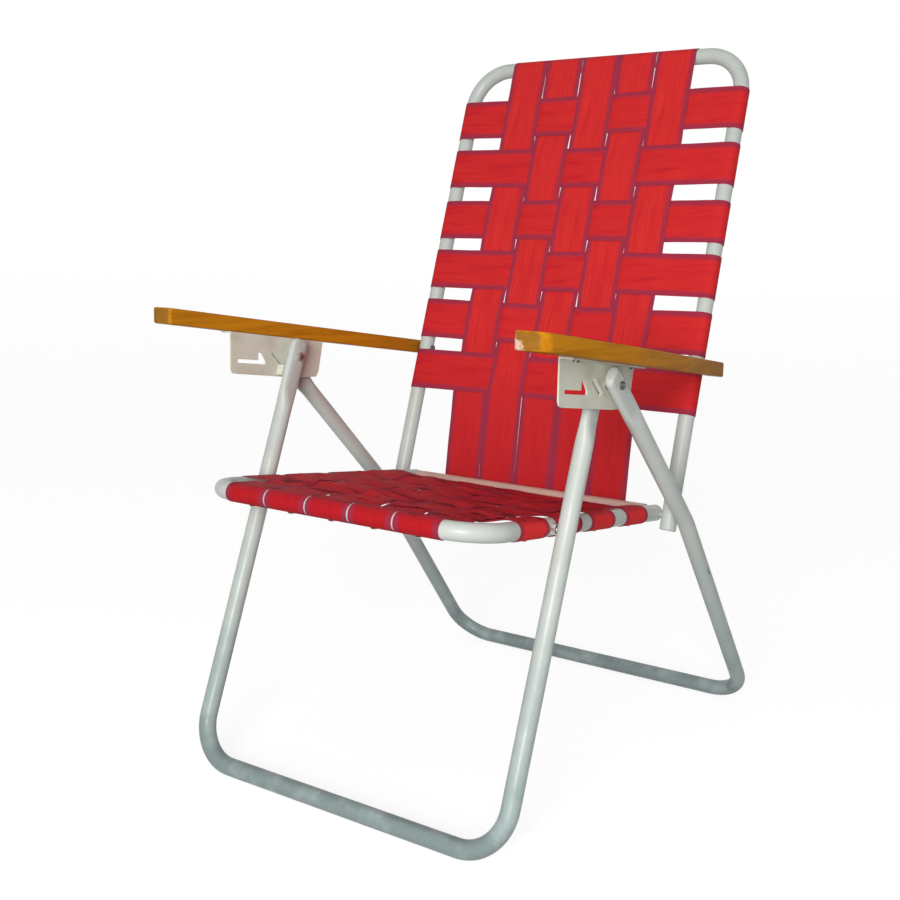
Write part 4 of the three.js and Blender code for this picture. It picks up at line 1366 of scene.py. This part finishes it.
def arm(side, hand):
    rings = []
    quarter = [math.radians(15 * k) for k in range(7)]
    levels = [(ARM_EDGE * (1 - math.cos(a)), ARM_EDGE * (1 - math.sin(a))) for a in quarter]
    levels += [(ARM_THICK - up, inset) for up, inset in reversed(levels)]
    for up, inset in levels:
        edge = drawn_in(outline, inset)
        rings.append([Vector((side * p.x, p.y, arm_under(p.y) + up)) for p in edge])
    shape = Shape()
    shape.rows(rings)
    piece = shape.object(f"wooden_arm_{hand}", wood, f"{hand}_arm", sharp=50)
    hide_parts(f"arm_{hand}")


arm(1, "left")
arm(-1, "right")
print("arms are", ARM_REAR_Y - ARM_FRONT_Y, "mm long")

# %% [markdown]
# ## Bolts
# The main bolts hold both legs and the plate together on each side, and show a small
# domed head outside the rear leg. The seat turns on two more, with their heads on the
# inner side of its rails, and the back on the rod in the cross tube. A lathe profile
# gives each head its dome and a thin rim. The face and the top of a head and the end
# of its shank are measured from the middle of the chair.

# %% Domed bolts
RIM = 0.7
SHANK = 2.9
SEAT_PIN_RUN = 131.8
MAIN_BOLT = {"head_face": 264.3, "head_top": 267.6, "radius": 5.0, "shank_end": 219.5}
SEAT_BOLT = {"head_face": 190.7, "head_top": 186.7, "radius": 6.0, "shank_end": 229}


def domed_bolt(name, node, finish, y, z, side, head_face, head_top, radius, shank_end):
    way = 1 if head_top > head_face else -1
    tall = abs(head_top - head_face)
    end = -abs(shank_end - head_face)
    angles = [math.radians(a) for a in range(15, 90, 12)]
    dome = [(tall * math.sin(a), radius * math.cos(a) ** 0.8) for a in angles]
    profile = [(end, 0.05), (end, SHANK - 0.4), (end + 0.5, SHANK), (0, SHANK)]
    profile += [(0, radius), (RIM, radius)]
    profile += [(RIM + (tall - RIM) * up / tall, r) for up, r in dome] + [(tall, 0.05)]
    foot, axis = Vector((side * head_face, y, z)), Vector((side * way, 0, 0))
    shape = Shape()
    shape.rows(lathe_rings(foot, axis, profile, 32))
    piece = shape.object(name, finish, "front_legs", sharp=45)
    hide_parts(node)


seat_pin = on_seat(0, SEAT_PIN_RUN)
for side, hand in ((1, "left"), (-1, "right")):
    domed_bolt(f"main_bolt_{hand}", f"main_pivot_bolt_{hand}", old_bolt, PIVOT_Y, PIVOT_Z,
               side, **MAIN_BOLT)
    domed_bolt(f"seat_bolt_{hand}", f"seat_pivot_bolt_{hand}", zinc, seat_pin.y, seat_pin.z,
               side, **SEAT_BOLT)
print("a main bolt is", round(MAIN_BOLT["head_top"] - MAIN_BOLT["shank_end"], 1), "mm long")

# %% [markdown]
# ## Finishes for the solids that stay
# The rod, nuts, washers, spacers, screws and the bracket plates already have their
# right shape, so they only need their finish.

# %% Zinc and enamel on the solids
dressed = 0
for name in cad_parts:
    if name.startswith("bracket_plate"):
        finish = plate_paint
    elif "screw" in name:
        finish = old_bolt
    elif any(word in name for word in ("rod", "nut", "washer", "spacer")):
        finish = zinc
    else:
        continue
    solid = bpy.data.objects[name]
    solid.data.materials.clear()
    solid.data.materials.append(finish.material)
    dressed += 1
print(dressed, "solids keep their shape")
